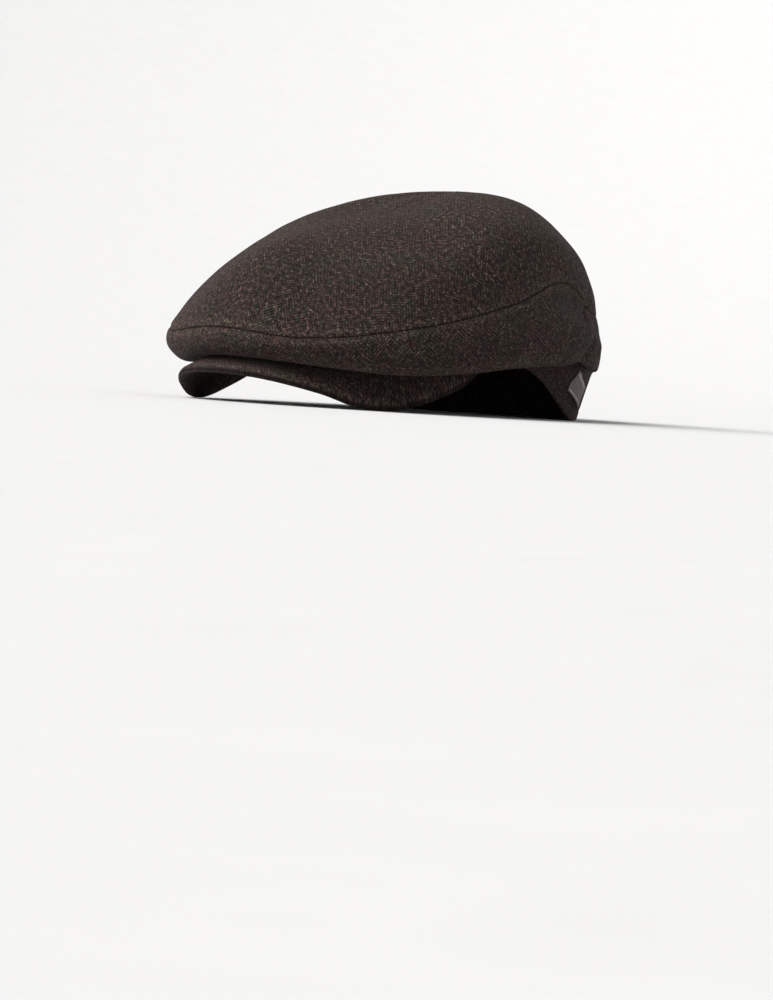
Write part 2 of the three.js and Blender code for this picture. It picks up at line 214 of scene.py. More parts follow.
def section_points(turn):
    """The ten control points of each section, with one more beyond either end."""
    head, wide = plan_lines(turn)
    apex = np.broadcast_to([0, APEX_BEHIND], head.shape)
    hem = hem_height(turn)
    tuck = SIDE_LIFT + TUCK_RISE * side["tuck_rise"](turn)

    def joined(start, reach, height):
        reach = np.broadcast_to(reach, turn.shape)
        plan = start + (wide - start) * reach[..., None]
        return np.concatenate([plan, np.broadcast_to(height, turn.shape)[..., None]], -1)

    def crown(reach, rise):
        return joined(apex, reach, SIDE_LIFT + CROWN_RISE * rise)

    points = [
        crown(0, 1),
        crown(top["mid_reach"](turn), top["mid_rise"](turn)),
        crown(top["shoulder_reach"](turn), top["shoulder_rise"](turn)),
        crown(top["seam_reach"](turn), top["seam_rise"](turn)),
        crown(1, side["wide_rise"](turn)),
        joined(head, side["roll_reach"](turn), SIDE_LIFT - ROLL_DROP * side["roll_drop"](turn)),
        joined(head, side["tuck_reach"](turn), tuck),
        joined(head, side["ridge_reach"](turn), hem + (tuck - hem) * RIDGE_UP),
        joined(head, side["hollow_reach"](turn), hem + (tuck - hem) * HOLLOW_UP),
        joined(head, 0, hem),
    ]
    before = 2 * points[0] - points[1]
    before[..., 2] = points[1][..., 2]
    return np.stack([before, *points, 2 * points[-1] - points[-2]])


print("ten control points at the front, from", section_points(np.zeros(1))[1, 0].round(4))

# %% [markdown]
# Wool that is pressed over a block stays full where a curve through few rows sags. Two rows say where
# the top cloth stands out a few millimetres beyond the plain model, one on each side of the front, and
# by how much along each axis. The amount fades to nothing at the top point, where all sections meet.

# %% Fullness beside the front
FULLNESS_COLUMNS = ["turn", "level", "turn_spread", "level_spread", "out_x", "out_y", "out_z"]
FULLNESS_TABLE = [
    [30, 1.18, 20, 0.62, 1.7, -2.4, 7.4],
    [-30, 1.18, 20, 0.62, -1.7, -2.4, 7.4],
]
APEX_FADE = 0.35


def fullness(turn, level):
    """How far the cloth stands out beyond the plain model, in millimetres along x, y and z."""
    out = np.zeros(turn.shape + (3,))
    for row in FULLNESS_TABLE:
        full = dict(zip(FULLNESS_COLUMNS, row))
        across = (turn - full["turn"]) / full["turn_spread"]
        along = (level - full["level"]) / full["level_spread"]
        share = np.exp(-across**2 - along**2) * (1 - np.exp(-((level / APEX_FADE) ** 2)))
        out = out + share[..., None] * (full["out_x"], full["out_y"], full["out_z"])
    return out


print("fullest", round(float(fullness(np.array(30.0), np.array(1.18)).max()), 1), "mm upwards")

# %% [markdown]
# With the control points and the fullness, the place of any point of the smooth cloth follows from its
# turn and level, and so does the way the cloth faces there. The lengths along a section are summed from
# many short steps, because a mesh whose rows lie at even lengths of cloth shows no stretched faces.

# %% Places, facing and lengths
NORMAL_TURN = 0.25
NORMAL_LEVEL = 0.01


def cloth_base(turn, level):
    """Places on the smooth cloth, for arrays of turns and levels of one shape."""
    turn, level = np.broadcast_arrays(np.asarray(turn, float), np.asarray(level, float))
    points = section_points(turn)
    i = np.clip(np.floor(level).astype(int), 0, HEM_LEVEL - 1)
    f = (level - i)[..., None]

    def pick(k):
        return np.take_along_axis(points, (i + k)[None, ..., None], 0)[0]

    p, q, r, s = pick(0), pick(1), pick(2), pick(3)
    a, b, c = (np.sqrt(np.linalg.norm(v, axis=-1, keepdims=True)) for v in (q - p, r - q, s - r))
    leave = ((q - p) / a - (r - p) / (a + b) + (r - q) / b) * b
    arrive = ((r - q) / b - (s - q) / (b + c) + (s - r) / c) * b
    keep = 2 * f**3 - 3 * f**2 + 1
    place = keep * q + (1 - keep) * r + (f**3 - 2 * f**2 + f) * leave + (f**3 - f**2) * arrive
    return place + fullness(turn, level) * MM


def cloth_normal(turn, level):
    """Which way the outer side faces, from two small steps on the cloth."""
    turn, level = np.broadcast_arrays(np.asarray(turn, float), np.asarray(level, float))
    down = cloth_base(turn, np.minimum(level + NORMAL_LEVEL, HEM_LEVEL))
    up = cloth_base(turn, np.maximum(level - NORMAL_LEVEL, 0))
    across = cloth_base(turn + NORMAL_TURN, level) - cloth_base(turn - NORMAL_TURN, level)
    normal = np.cross(down - up, across)
    normal[level < NORMAL_LEVEL] = (0, 0, 1)
    return normal / np.linalg.norm(normal, axis=-1, keepdims=True)


def arc_lengths(turns, first, last, steps=600):
    """For each turn, levels from first to last and the length of cloth up to each."""
    levels = np.linspace(first, last, steps)
    path = cloth_base(turns[:, None], levels[None, :])
    lengths = np.linalg.norm(np.diff(path, axis=1), axis=-1).cumsum(1)
    return levels, np.concatenate([np.zeros((len(turns), 1)), lengths], 1)


def levels_at(turns, distances, first, last):
    """The levels that lie at the given distances along the cloth from the first level."""
    levels, lengths = arc_lengths(turns, first, last)
    return np.stack([np.interp(d, length, levels) for d, length in zip(distances, lengths)])


print("top point at", cloth_base(0, 0).round(4))
print("front seam at", cloth_base(0, SEAM_LEVEL).round(4))

# %% [markdown]
# Cloth that is sewn and worn is never perfectly smooth. Its relief is real geometry, because it changes
# the outline and catches the light: the large soft dents that the plain model has too, and smaller folds
# where the crown slumps behind the ear. Each fold is one row: its place, its half-length and half-width
# in millimetres, its lean from level in degrees, and its depth. A negative depth is a bulge.

# %% Dents and folds
DENT_COLUMNS = ["turn", "level", "turn_spread", "level_spread", "depth"]
DENT_TABLE = [
    [118, 3.3, 11, 0.3, 2.4],
    [144, 2.7, 12, 0.3, -1.2],
    [104, 3.62, 16, 0.26, -1.2],
    [136, 3.75, 9, 0.3, 1.6],
    [-118, 3.35, 14, 0.3, 1.6],
    [70, 1.75, 22, 0.35, 1],
    [124, 1.6, 16, 0.4, 1.6],
]
FOLD_COLUMNS = ["turn", "level", "length", "width", "lean", "depth"]
FOLD_TABLE = [
    [124, 3.3, 14, 3.4, 62, 2.0],
    [113, 3.45, 14, 3.6, 24, 1.2],
    [132, 3.3, 13, 3.0, -40, 0.9],
    [140, 3.9, 15, 3.2, 70, 1.2],
    [121, 4.4, 15, 2.4, 30, 2.2],
    [126, 4.82, 18, 3.2, 16, -1.5],
    [108, 4.75, 18, 3.0, 6, -0.8],
    [122, 6.6, 20, 3.4, 4, -1.3],
    [112, 6.3, 20, 2.8, 0, 1.1],
    [38, 1.2, 14, 6.0, 20, 0.3],
    [56, 1.84, 14, 6.0, -20, 0.35],
    [100, 4.3, 24, 4.5, 12, 0.7],
    [76, 3.7, 26, 5.5, -8, 0.6],
    [48, 3.6, 22, 4.5, 10, 0.5],
    [-120, 3.5, 18, 3.6, -50, 1.2],
    [-134, 4.2, 20, 3.6, -10, 1.1],
    [-98, 4.2, 26, 4.6, -14, 0.8],
    [-66, 3.7, 24, 5.0, 12, 0.5],
    [168, 3.8, 22, 4.0, 6, 0.7],
    [-160, 3.6, 20, 4.2, -12, 0.7],
    [92, 2.2, 30, 8.0, 20, 0.4],
    [112, 2.45, 24, 6.0, 34, 0.5],
    [40, 2.3, 30, 9.0, -16, 0.3],
    [-30, 2.4, 28, 8.0, 14, 0.5],
    [-90, 2.3, 28, 8.0, -18, 0.6],
    [152, 2.3, 26, 7.0, -30, 0.7],
    [-146, 2.4, 26, 7.0, 28, 0.6],
]
FOLD_REACH = 3
FOLD_TURN = 0.5
FOLD_LEVEL = 0.02


def bump(distance, width):
    """1 at no distance, and about a third at the given width."""
    return np.exp(-((distance / width) ** 2))


def dents(turn, level):
    """How deep the large dents press the cloth in at each place."""
    depth = np.zeros(np.broadcast(turn, level).shape)
    for row in DENT_TABLE:
        dent = dict(zip(DENT_COLUMNS, row))
        across = (turn - dent["turn"]) / dent["turn_spread"]
        along = (level - dent["level"]) / dent["level_spread"]
        depth = depth + dent["depth"] * MM * np.exp(-across**2 - along**2)
    return depth


def fold_frame(turn, level):
    """Unit steps on the cloth, round the cap and down the section."""
    round_it = cloth_base(turn + FOLD_TURN, level) - cloth_base(turn - FOLD_TURN, level)
    down_it = cloth_base(turn, level + FOLD_LEVEL) - cloth_base(turn, level - FOLD_LEVEL)
    return round_it / np.linalg.norm(round_it), down_it / np.linalg.norm(down_it)


def folds(places):
    """How deep the small folds press the cloth in at each place. A fold is longer than it is wide."""
    depth = np.zeros(places.shape[:-1])
    for row in FOLD_TABLE:
        fold = dict(zip(FOLD_COLUMNS, row))
        round_it, down_it = fold_frame(fold["turn"], fold["level"])
        tilt = math.radians(fold["lean"])
        along = math.cos(tilt) * round_it - math.sin(tilt) * down_it
        across = math.sin(tilt) * round_it + math.cos(tilt) * down_it
        away = places - cloth_base(fold["turn"], fold["level"])
        length, width = fold["length"] * MM, fold["width"] * MM
        far = (away @ along / length) ** 2 + (away @ across / width) ** 2
        near = np.linalg.norm(away, axis=-1) < FOLD_REACH * length
        depth = depth + near * fold["depth"] * MM * np.exp(-far)
    return depth


print(len(DENT_TABLE), "dents and", len(FOLD_TABLE), "folds")

# %% [markdown]
# Between the folds the cloth is still a little uneven, in hills a few centimetres wide and smaller ones
# of a centimetre. Along a seam the thread draws it into short waves, which fade away within a
# centimetre. Each wave here is the sum of three lengths, so that no rhythm repeats.

# %% Unevenness and puckers
UNEVEN_COLUMNS = ["hill", "height", "seed"]
UNEVEN_TABLE = [
    [34, 0.3, 3.7],
    [11, 0.16, 9.1],
]
PUCKER_COLUMNS = ["wave", "share"]
PUCKER_TABLE = [
    [9.3, 0.5],
    [13.7, 0.7],
    [21.1, 0.6],
]
PUCKER_PHASE = 2.1
PUCKER_START = 1.6 * MM
PUCKER_END = 9 * MM


def unevenness(places, scale, seed):
    """Soft noise from -1 to 1 at each place, with one hill in about scale metres."""
    flat = places.reshape(-1, 3) / scale + seed
    return np.array([noise.noise(Vector(p)) for p in flat]).reshape(places.shape[:-1])


def slump(turn, level):
    """Dents, folds and unevenness together, as a depth inwards at each place."""
    places = cloth_base(turn, level)
    depth = dents(turn, level) + folds(places)
    for row in UNEVEN_TABLE:
        uneven = dict(zip(UNEVEN_COLUMNS, row))
        depth = depth + uneven["height"] * MM * unevenness(places, uneven["hill"] * MM, uneven["seed"])
    return depth


def puckers(run, distance, seed):
    """Small waves beside a seam: run is the length along it, distance the way from it."""
    height = 0
    for k, row in enumerate(PUCKER_TABLE):
        pucker = dict(zip(PUCKER_COLUMNS, row))
        phase = 2 * math.pi * run / (pucker["wave"] * MM) + seed + PUCKER_PHASE * k
        height = height + pucker["share"] * np.sin(phase)
    return height * bump(distance, PUCKER_END) * (1 - bump(distance, PUCKER_START))


print("seam waves of", [row[0] for row in PUCKER_TABLE], "mm")

# %% [markdown]
# A cloth has two faces and soft, rounded edges. Each piece is a closed wall: an outer and an inner
# grid of points that close on each other along a half-round edge, so the mesh has a real thickness and
# no loose faces. Each grid point also carries its place in the cloth before it was sewn, in metres, as
# a UV map, so the weave follows the cut of the piece, and two numbers for the finish: how much painted
# shade it gets where it sits deep in a seam, and how much it is rubbed.

# %% Mesh helpers
def rounding(edge_distance, reach):
    """From 0 at an edge to 1 at the given reach, on a quarter of a circle."""
    near = np.clip(edge_distance / reach, 0, 1)
    return np.sqrt(np.clip(1 - (1 - near) ** 2, 0, 1))


def half_round(edge_distance, thickness):
    """Half the cloth's thickness near an edge that is rounded over."""
    return thickness / 2 * rounding(edge_distance, thickness / 2)


def volume(points, faces):
    """The volume inside the faces. It is negative where they look inwards."""
    quads = np.array([face if len(face) == 4 else [*face, face[-1]] for face in faces if len(face) < 5])
    a, b, c, d = (points[quads[:, k]] for k in range(4))
    return float((a * np.cross(b, c)).sum() + (a * np.cross(c, d)).sum()) / 6


def closed_mesh(name, points, faces, cloth_uv, finish):
    """A smooth mesh from points, faces, one UV per point and point values of the finish."""
    mesh = bpy.data.meshes.new(name)
    placed = points.copy()
    placed[:, 1] -= middle
    if volume(placed, faces) < 0:
        faces = [list(reversed(face)) for face in faces]
    mesh.from_pydata(placed.tolist(), [], faces)
    corner = np.empty(len(mesh.loops), np.int32)
    mesh.loops.foreach_get("vertex_index", corner)
    layer = mesh.uv_layers.new(name="cloth")
    layer.uv.foreach_set("vector", cloth_uv[corner].astype(np.float32).ravel())
    for key, values in finish.items():
        made = mesh.attributes.new(key, "FLOAT", "POINT")
        made.data.foreach_set("value", values.astype(np.float32))
    mesh.shade_smooth()
    mesh.update()
    piece = bpy.data.objects.new(name, mesh)
    bpy.context.scene.collection.objects.link(piece)
    print(name, len(placed), "points,", sum(len(f) - 2 for f in faces), "triangles")
    return piece


def grid_faces(rows, columns, close_rows=False, close_columns=False, first=0, flip=False):
    """Faces of a grid of points, closed round on itself in either direction if asked."""
    r = np.arange(rows if close_rows else rows - 1)
    c = np.arange(columns if close_columns else columns - 1)
    r, c = (x.ravel() for x in np.meshgrid(r, c, indexing="ij"))
    r2, c2 = (r + 1) % rows, (c + 1) % columns
    quads = np.stack([r * columns + c, r2 * columns + c, r2 * columns + c2, r * columns + c2], -1) + first
    return (quads[:, ::-1] if flip else quads).tolist()


def wall_mesh(name, outer, inner, cloth_uv, finish):
    """A closed wall whose two grids share their border points."""
    rows, columns = outer.shape[:2]
    number = np.arange(rows * columns).reshape(rows, columns)
    inside = np.zeros((rows, columns), bool)
    inside[1:-1, 1:-1] = True
    back = number.copy()
    back[inside] = rows * columns + np.arange(inside.sum())
    quads = [
        [(r, c), (r + 1, c), (r + 1, c + 1), (r, c + 1)]
        for r in range(rows - 1)
        for c in range(columns - 1)
    ]
    faces = [[int(number[spot]) for spot in quad] for quad in quads]
    faces += [[int(back[spot]) for spot in reversed(quad)] for quad in quads]
    points = np.concatenate([outer.reshape(-1, 3), inner[inside]])
    uv = np.concatenate([cloth_uv.reshape(-1, 2), cloth_uv[inside]])
    both = {key: np.concatenate([values.ravel(), values[inside]]) for key, values in finish.items()}
    return closed_mesh(name, points, faces, uv, both)


print("a two by two grid closed both ways has", len(grid_faces(2, 2, True, True)), "faces")

# %% [markdown]
# The two crown cloths meet in a seam that is pressed open inside: each edge turns in, so the outside
# shows a narrow valley with its thread sunk at the bottom. Both cloths get their relief from one
# function, as a way to move the outer side along its normal. Beside the seam it adds the valley and the
# puckers, and everywhere else the dents, the folds and a slight unevenness.

# %% Relief of the crown cloths
VALLEY_DEPTH = 0.3 * MM
VALLEY_WIDTH = 1.3 * MM
PUCKER_HEIGHT = 0.3 * MM
CROWN_PUCKER_SEED = 1.3
LEVEL_MATCH = 1e-9


def crown_relief(turn, level, seam_distance, run):
    """How far the outer side moves inwards, for grids of places on the crown."""
    depth = slump(turn, level) + VALLEY_DEPTH * bump(seam_distance, VALLEY_WIDTH)
    return depth + PUCKER_HEIGHT * puckers(run, seam_distance, CROWN_PUCKER_SEED)


def crown_wall(turn, level, half, seam_distance, run, inner_extra):
    """Outer and inner points of a crown cloth, from half its thickness at each place."""
    normal = cloth_normal(turn, level)
    hem = level >= HEM_LEVEL - LEVEL_MATCH
    normal[hem, 2] = 0
    normal /= np.linalg.norm(normal, axis=-1, keepdims=True)
    outer = cloth_base(turn, level) - normal * crown_relief(turn, level, seam_distance, run)[..., None]
    core = outer - normal * (CLOTH / 2)
    extra = np.minimum(inner_extra, half)
    return core + normal * half[..., None], core - normal * (half + extra)[..., None]


print("the seam's valley is", VALLEY_DEPTH / MM, "mm deep")

# %% [markdown]
# The top cloth is one oval piece. It is laid out in rings round the top point, every ring a fixed
# length of cloth down from there, with much closer rings in the last centimetre so that the seam's
# valley and puckers come out clean.

# %% Rings of the top cloth
ROUND_STEPS = 420
RINGS = 84
NEAR_SEAM = [0, 0.05, 0.15, 0.4, 0.8, 1.3, 1.9, 2.7, 3.7, 4.9, 6.3, 8.0, 10.0]

top_turns = -180 + 360 * np.arange(ROUND_STEPS) / ROUND_STEPS
top_length = arc_lengths(top_turns, 0, SEAM_LEVEL)[1][:, -1]
seam_near = np.array(NEAR_SEAM) * MM
far_share = np.linspace(0, 1, RINGS + 1)[1:-1]
far_rings = far_share[None, :] * (top_length[:, None] - seam_near[-1])
from_top = np.concatenate([far_rings, top_length[:, None] - seam_near[::-1][None, :]], 1)
from_top[:, -1] -= SEAM_GAP / 4
top_levels = levels_at(top_turns, from_top, 0, SEAM_LEVEL)
rings = top_levels.shape[1]
turn_grid = np.broadcast_to(top_turns[:, None], top_levels.shape)
seam_line = cloth_base(top_turns, SEAM_LEVEL)
seam_steps = np.linalg.norm(np.roll(seam_line, -1, 0) - seam_line, axis=-1)
seam_run = np.concatenate([[0], np.cumsum(seam_steps)[:-1]])
seam_distance = top_length[:, None] - from_top
print(rings, "rings of", ROUND_STEPS, "points, the seam is", round(float(seam_steps.sum()), 4), "m long")

# %% [markdown]
# Inside, the pressed seam allowance lies double on the last millimetres of the cloth. It is a step in
# the inner side, softened over a quarter of a millimetre as a folded edge of wool is.

# %% Top cloth's wall
PRESSED_EDGE = 0.4 * MM
ALLOWANCE_WIDTH = 8 * MM
TOP_ALLOWANCE = 0.75 * MM
FOLDED_EDGE = 0.25 * MM
EXPONENT_LIMIT = 50


def folded(distance, width, thickness, softness=FOLDED_EDGE):
    """Extra thickness from an edge up to a width, where the folded-over cloth ends."""
    return thickness / (1 + np.exp(np.minimum((distance - width) / softness, EXPONENT_LIMIT)))


allowance = folded(seam_distance, ALLOWANCE_WIDTH, TOP_ALLOWANCE)
half = CLOTH / 2 * rounding(seam_distance, PRESSED_EDGE)
outer, inner = crown_wall(turn_grid, top_levels, half, seam_distance, seam_run[:, None], allowance)
at_apex = np.zeros((1, 1))
apex_relief = crown_relief(at_apex, at_apex, np.full((1, 1), top_length.mean()), at_apex)
apex_out = cloth_base(0, 0)[None] - [0, 0, float(apex_relief[0, 0])]
print("the top cloth's highest point is", round(float(apex_out[0, 2]), 4), "m up")

# %% [markdown]
# Each point's place before sewing is its length of cloth from the top point, in the same direction as
# on the cap. That keeps the columns of the weave running from front to back, as a cutter lays them. The
# finish numbers paint shade into the seam's bottom and lighten the edge beside it, which hands rub bare.

# %% Top cloth
SEAM_SHADE = 0.45 * MM
RUBBED_FROM_SEAM = 2.6 * MM
RUBBED_WIDTH = 1.6 * MM

out = plan_lines(top_turns)[1] - [0, APEX_BEHIND]
out /= np.linalg.norm(out, axis=-1, keepdims=True)
top_uv = from_top[..., None] * out[:, None, :]
outer_rings = outer.transpose(1, 0, 2).reshape(-1, 3)
inner_rings = inner[:, :-1].transpose(1, 0, 2).reshape(-1, 3)
ring_uv = top_uv.transpose(1, 0, 2)
points = np.concatenate([apex_out, outer_rings, apex_out - [0, 0, CLOTH], inner_rings])

inner_first = 1 + len(outer_rings)
last_inner = inner_first + 1 + (rings - 2) * ROUND_STEPS
last_outer = 1 + (rings - 1) * ROUND_STEPS
faces = grid_faces(rings, ROUND_STEPS, close_columns=True, first=1, flip=True)
faces += grid_faces(rings - 1, ROUND_STEPS, close_columns=True, first=inner_first + 1)
for k in range(ROUND_STEPS):
    k2 = (k + 1) % ROUND_STEPS
    faces.append([0, 1 + k2, 1 + k])
    faces.append([inner_first, inner_first + 1 + k, inner_first + 1 + k2])
    faces.append([last_outer + k2, last_outer + k, last_inner + k, last_inner + k2])

# Painted shade along the bottom of the seam, which also stands for the dark of its sunk thread.
sunk = bump(seam_distance, SEAM_SHADE).T
rubbed = bump(seam_distance - RUBBED_FROM_SEAM, RUBBED_WIDTH).T
uv_all = np.concatenate([[[0, 0]], ring_uv.reshape(-1, 2), [[0, 0]], ring_uv[:-1].reshape(-1, 2)])


def ring_values(values):
    """Values of the rings on both sides, with a 0 at both top points."""
    return np.concatenate([[0], values.ravel(), [0], values[:-1].ravel()])


top_finish = {"sunk": ring_values(sunk), "rubbed": ring_values(rubbed)}
top_cloth = closed_mesh("top_cloth", points, faces, uv_all, top_finish)
edge_x, edge_y = top_uv[:, -1, 0], top_uv[:, -1, 1]
top_area = 0.5 * abs(np.sum(edge_x * np.roll(edge_y, -1) - np.roll(edge_x, -1) * edge_y))

# %% [markdown]
# The side cloth is one long strip. From the seam it swells out over the widest line, rolls under and
# runs back to the head line, then up into the hollow and down to the hem, which dips at the nape. Its
# two ends are sewn together at the centre back. Its rows lie at even lengths of cloth from the seam to
# the hem, closer together at both edges.

# %% Rows of the side cloth
SIDE_ROUND_STEPS = 400
SIDE_ROWS = 66
NEAR_HEM = [0, 0.15, 0.4, 0.8, 1.3, 1.9, 2.7, 3.9]

side_turns = -180 + 360 * np.arange(SIDE_ROUND_STEPS) / SIDE_ROUND_STEPS
side_length = arc_lengths(side_turns, SEAM_LEVEL, HEM_LEVEL)[1][:, -1]
hem_near = np.array(NEAR_HEM) * MM
share = np.linspace(0, 1, SIDE_ROWS + 1)[1:-1]
rows_start, rows_stop = seam_near[-1], side_length[:, None] - hem_near[-1]
down = np.concatenate(
    [
        np.broadcast_to(seam_near, (SIDE_ROUND_STEPS, len(seam_near))),
        rows_start + share[None, :] * (rows_stop - rows_start),
        side_length[:, None] - hem_near[::-1][None, :],
    ],
    1,
)
side_levels = levels_at(side_turns, down, SEAM_LEVEL, HEM_LEVEL)
turn_grid = np.broadcast_to(side_turns[:, None], side_levels.shape)
hem_distance = side_length[:, None] - down
widest = cloth_base(side_turns, WIDE_LEVEL)
round_steps = np.linalg.norm(np.roll(widest, -1, 0) - widest, axis=-1)
round_run = np.concatenate([[0], np.cumsum(round_steps)[:-1]])
round_total = round_steps.sum()
back_distance = np.minimum(round_run, round_total - round_run)[:, None]
print("the side strip is", round(float(round_total), 4), "m round")
print("and", side_length.min().round(3), "to", side_length.max().round(3), "m deep")

# %% [markdown]
# Inside, the strip is double where its hem is turned up and where the back seam's allowances are
# pressed to either side. Outside, the back seam shows the same valley as the crown's seam, and a row of
# stitches draws a shallow groove along the hem.

# %% Side cloth's wall
TURN_UP = 11 * MM
TURN_UP_THICKNESS = 0.8 * MM
BACK_ALLOWANCE = 0.7 * MM
BACK_SOFTNESS = 0.4 * MM
HEM_STITCH_UP = 6 * MM
STITCH_GROOVE = 0.35 * MM
GROOVE_WIDTH = 0.8 * MM

turned_up = folded(hem_distance, TURN_UP, TURN_UP_THICKNESS)
back_pressed = folded(back_distance, ALLOWANCE_WIDTH, BACK_ALLOWANCE, BACK_SOFTNESS)
doubled = np.maximum(turned_up, back_pressed)
half = np.minimum(CLOTH / 2 * rounding(down, PRESSED_EDGE), half_round(hem_distance, CLOTH))
outer, inner = crown_wall(turn_grid, side_levels, half, down, round_run[:, None], doubled)
back_valley = VALLEY_DEPTH * bump(back_distance, VALLEY_WIDTH)
stitch_line = STITCH_GROOVE * bump(hem_distance - HEM_STITCH_UP, GROOVE_WIDTH)
outer = outer - cloth_normal(turn_grid, side_levels) * (back_valley + stitch_line)[..., None]
print("the hem is", round(float(CLOTH + turned_up.max()) / MM, 2), "mm thick where it is turned up")

# %% [markdown]
# The outer and inner grids join at the seam and at the hem into one outline, and that outline is closed
# round the cap. The finish numbers paint shade into the seams and the stitched groove, and lighten the
# places that wear first: beside the seam, along the rolled underside and at the hem.

# %% Side cloth
ROLL_LEVEL = 4.7
ROLL_SPREAD = 0.3
ROLL_RUBBED = 0.7
STITCHES_SHADE = 0.75
STITCHES_WIDTH = 0.5 * MM


def closed_outline(outside, inside):
    """The outer rows followed by the inner rows in reverse, without repeating the shared ends."""
    return np.concatenate([outside, inside[:, 1:-1][:, ::-1]], 1)


outline = closed_outline(outer, inner)
side_uv = np.stack([np.broadcast_to(round_run[:, None], down.shape), down], -1)
# Painted shade along the crown seam, the back seam and the stitched groove by the hem.
sunk = bump(np.minimum(down, back_distance), SEAM_SHADE)
sunk = np.maximum(sunk, STITCHES_SHADE * bump(hem_distance - HEM_STITCH_UP, STITCHES_WIDTH))
rubbed = bump(down - RUBBED_FROM_SEAM, RUBBED_WIDTH)
rubbed = rubbed + ROLL_RUBBED * bump(side_levels - ROLL_LEVEL, ROLL_SPREAD)
rubbed = np.maximum(rubbed, bump(hem_distance, RUBBED_WIDTH))
side_cloth = closed_mesh(
    "side_cloth",
    outline.reshape(-1, 3),
    grid_faces(SIDE_ROUND_STEPS, outline.shape[1], close_rows=True, close_columns=True),
    closed_outline(side_uv, side_uv).reshape(-1, 2),
    {"sunk": closed_outline(sunk, sunk).ravel(), "rubbed": closed_outline(rubbed, rubbed).ravel()},
)

# %% [markdown]
# The peak is two cloths sewn edge to edge. From above it is a crescent between the head line and an
# outline a little squarer than an ellipse, and from the side its edge dips twice, where it rests.
# Between the head line and the edge it is slightly arched, as a pressed peak is. Both cloths are made
# from one grid of places, with closer rows at both edges.

# %% Rows of the peak
PEAK_ROUND_STEPS = 260
PEAK_ROWS = 46
NEAR_PEAK_EDGE = [0, 0.15, 0.4, 0.8, 1.3, 2.0, 3.0]
NEAR_SHARE_MOST = 0.3
PEAK_ARCH = 1.1 * MM
FULL_ARCH_WIDTH = 30 * MM


def peak_place(turn, share):
    """The peak's lower face, from the head line (share 0) to the edge (share 1)."""
    turn, share = np.broadcast_arrays(turn, share)
    root_turn = np.radians(turn * PEAK_END_TURN / PEAK_TURNS)
    root = np.stack([HEAD_WIDTH / 2 * np.sin(root_turn), -HEAD_LENGTH / 2 * np.cos(root_turn)], -1)
    across, ahead = np.sin(np.radians(turn)), np.cos(np.radians(turn))
    edge_x = (HEAD_WIDTH / 2 + PEAK_END_WIDTH) * swell(across, PEAK_SQUARENESS)
    edge_y = -PEAK_END_AHEAD - (peak_front - PEAK_END_AHEAD) * swell(ahead, PEAK_SQUARENESS)
    plan = root + (np.stack([edge_x, edge_y], -1) - root) * share[..., None]
    rise = np.maximum(peak_edge(turn), 0)
    height = SIDE_LIFT * (1 + (rise - 1) * share)
    return np.concatenate([plan, height[..., None]], -1)


peak_turns = np.linspace(-PEAK_TURNS, PEAK_TURNS, PEAK_ROUND_STEPS + 1)
fine = np.array(NEAR_PEAK_EDGE) * MM
edge_line = peak_place(peak_turns, 1.0)
width = np.linalg.norm(edge_line - peak_place(peak_turns, 0.0), axis=-1)
most = np.linspace(0, NEAR_SHARE_MOST, len(fine))
near_share = np.minimum(fine[None, :] / width[:, None], most[None, :])
even = np.linspace(0, 1, PEAK_ROWS - 2 * len(fine) + 2)[1:-1]
inside_share = near_share[:, -1:] + even[None, :] * (1 - 2 * near_share[:, -1:])
shares = np.concatenate([near_share, inside_share, 1 - near_share[:, ::-1]], 1)
lower_face = peak_place(np.broadcast_to(peak_turns[:, None], shares.shape), shares)
arch = PEAK_ARCH * 4 * shares * (1 - shares) * np.minimum(width / FULL_ARCH_WIDTH, 1)[:, None]
root_distance, outer_edge = shares * width[:, None], (1 - shares) * width[:, None]
edge_distance = np.minimum(root_distance, outer_edge)
for tip in (lower_face[:1, :1], lower_face[-1:, -1:]):
    edge_distance = np.minimum(edge_distance, np.linalg.norm(lower_face - tip, axis=-1))
edge_distance[0] = edge_distance[-1] = 0
edge_run = np.concatenate([[0], np.linalg.norm(np.diff(edge_line, axis=0), axis=-1).cumsum()])[:, None]
print("the peak's edge is", round(float(edge_run[-1, 0]), 4), "m long")
print("the peak is up to", width.max().round(4), "m deep")

# %% [markdown]
# The two cloths lie on each other with a hair's gap. The faces that meet are flat with small corners,
# and the faces that show round over in a soft lip, because the seam was turned inside out and pressed.
# The rounding would lift the edge off the table, so its lowest stretch settles back down to touch it.

# %% Peak cloths
LIP = 2.4 * MM
FACING_CORNER = 0.12 * MM
PEAK_SEED = 5.2
PEAK_HILL, PEAK_HILL_HEIGHT = 30 * MM, 0.3 * MM
PEAK_PUCKER_HEIGHT = 0.22 * MM
RELIEF_FROM_EDGE, RELIEF_FROM_ROOT = 4 * MM, 8 * MM
LOW_RISE = 0.12
SETTLED_WIDTH = 7 * MM
PEAK_SHADE = 0.5 * MM
PEAK_RUBBED_FROM_EDGE = 1.6 * MM


def peak_faces(on_top):
    """Heights of the lower and upper face of one of the two cloths."""
    relief = PEAK_HILL_HEIGHT * unevenness(lower_face, PEAK_HILL, PEAK_SEED)
    relief += PEAK_PUCKER_HEIGHT * puckers(edge_run, outer_edge, PEAK_SEED)
    relief *= np.clip(edge_distance / RELIEF_FROM_EDGE, 0, 1)
    relief *= np.clip(root_distance / RELIEF_FROM_ROOT, 0, 1)
    base = lower_face[..., 2] + (CLOTH + SEAM_GAP if on_top else 0) + arch + relief
    meeting = FACING_CORNER * (1 - rounding(edge_distance, 2 * FACING_CORNER))
    away = (CLOTH - FACING_CORNER) * rounding(edge_distance, LIP)
    if on_top:
        return base + meeting, base + FACING_CORNER + away
    return base + CLOTH - FACING_CORNER - away, base + CLOTH - meeting


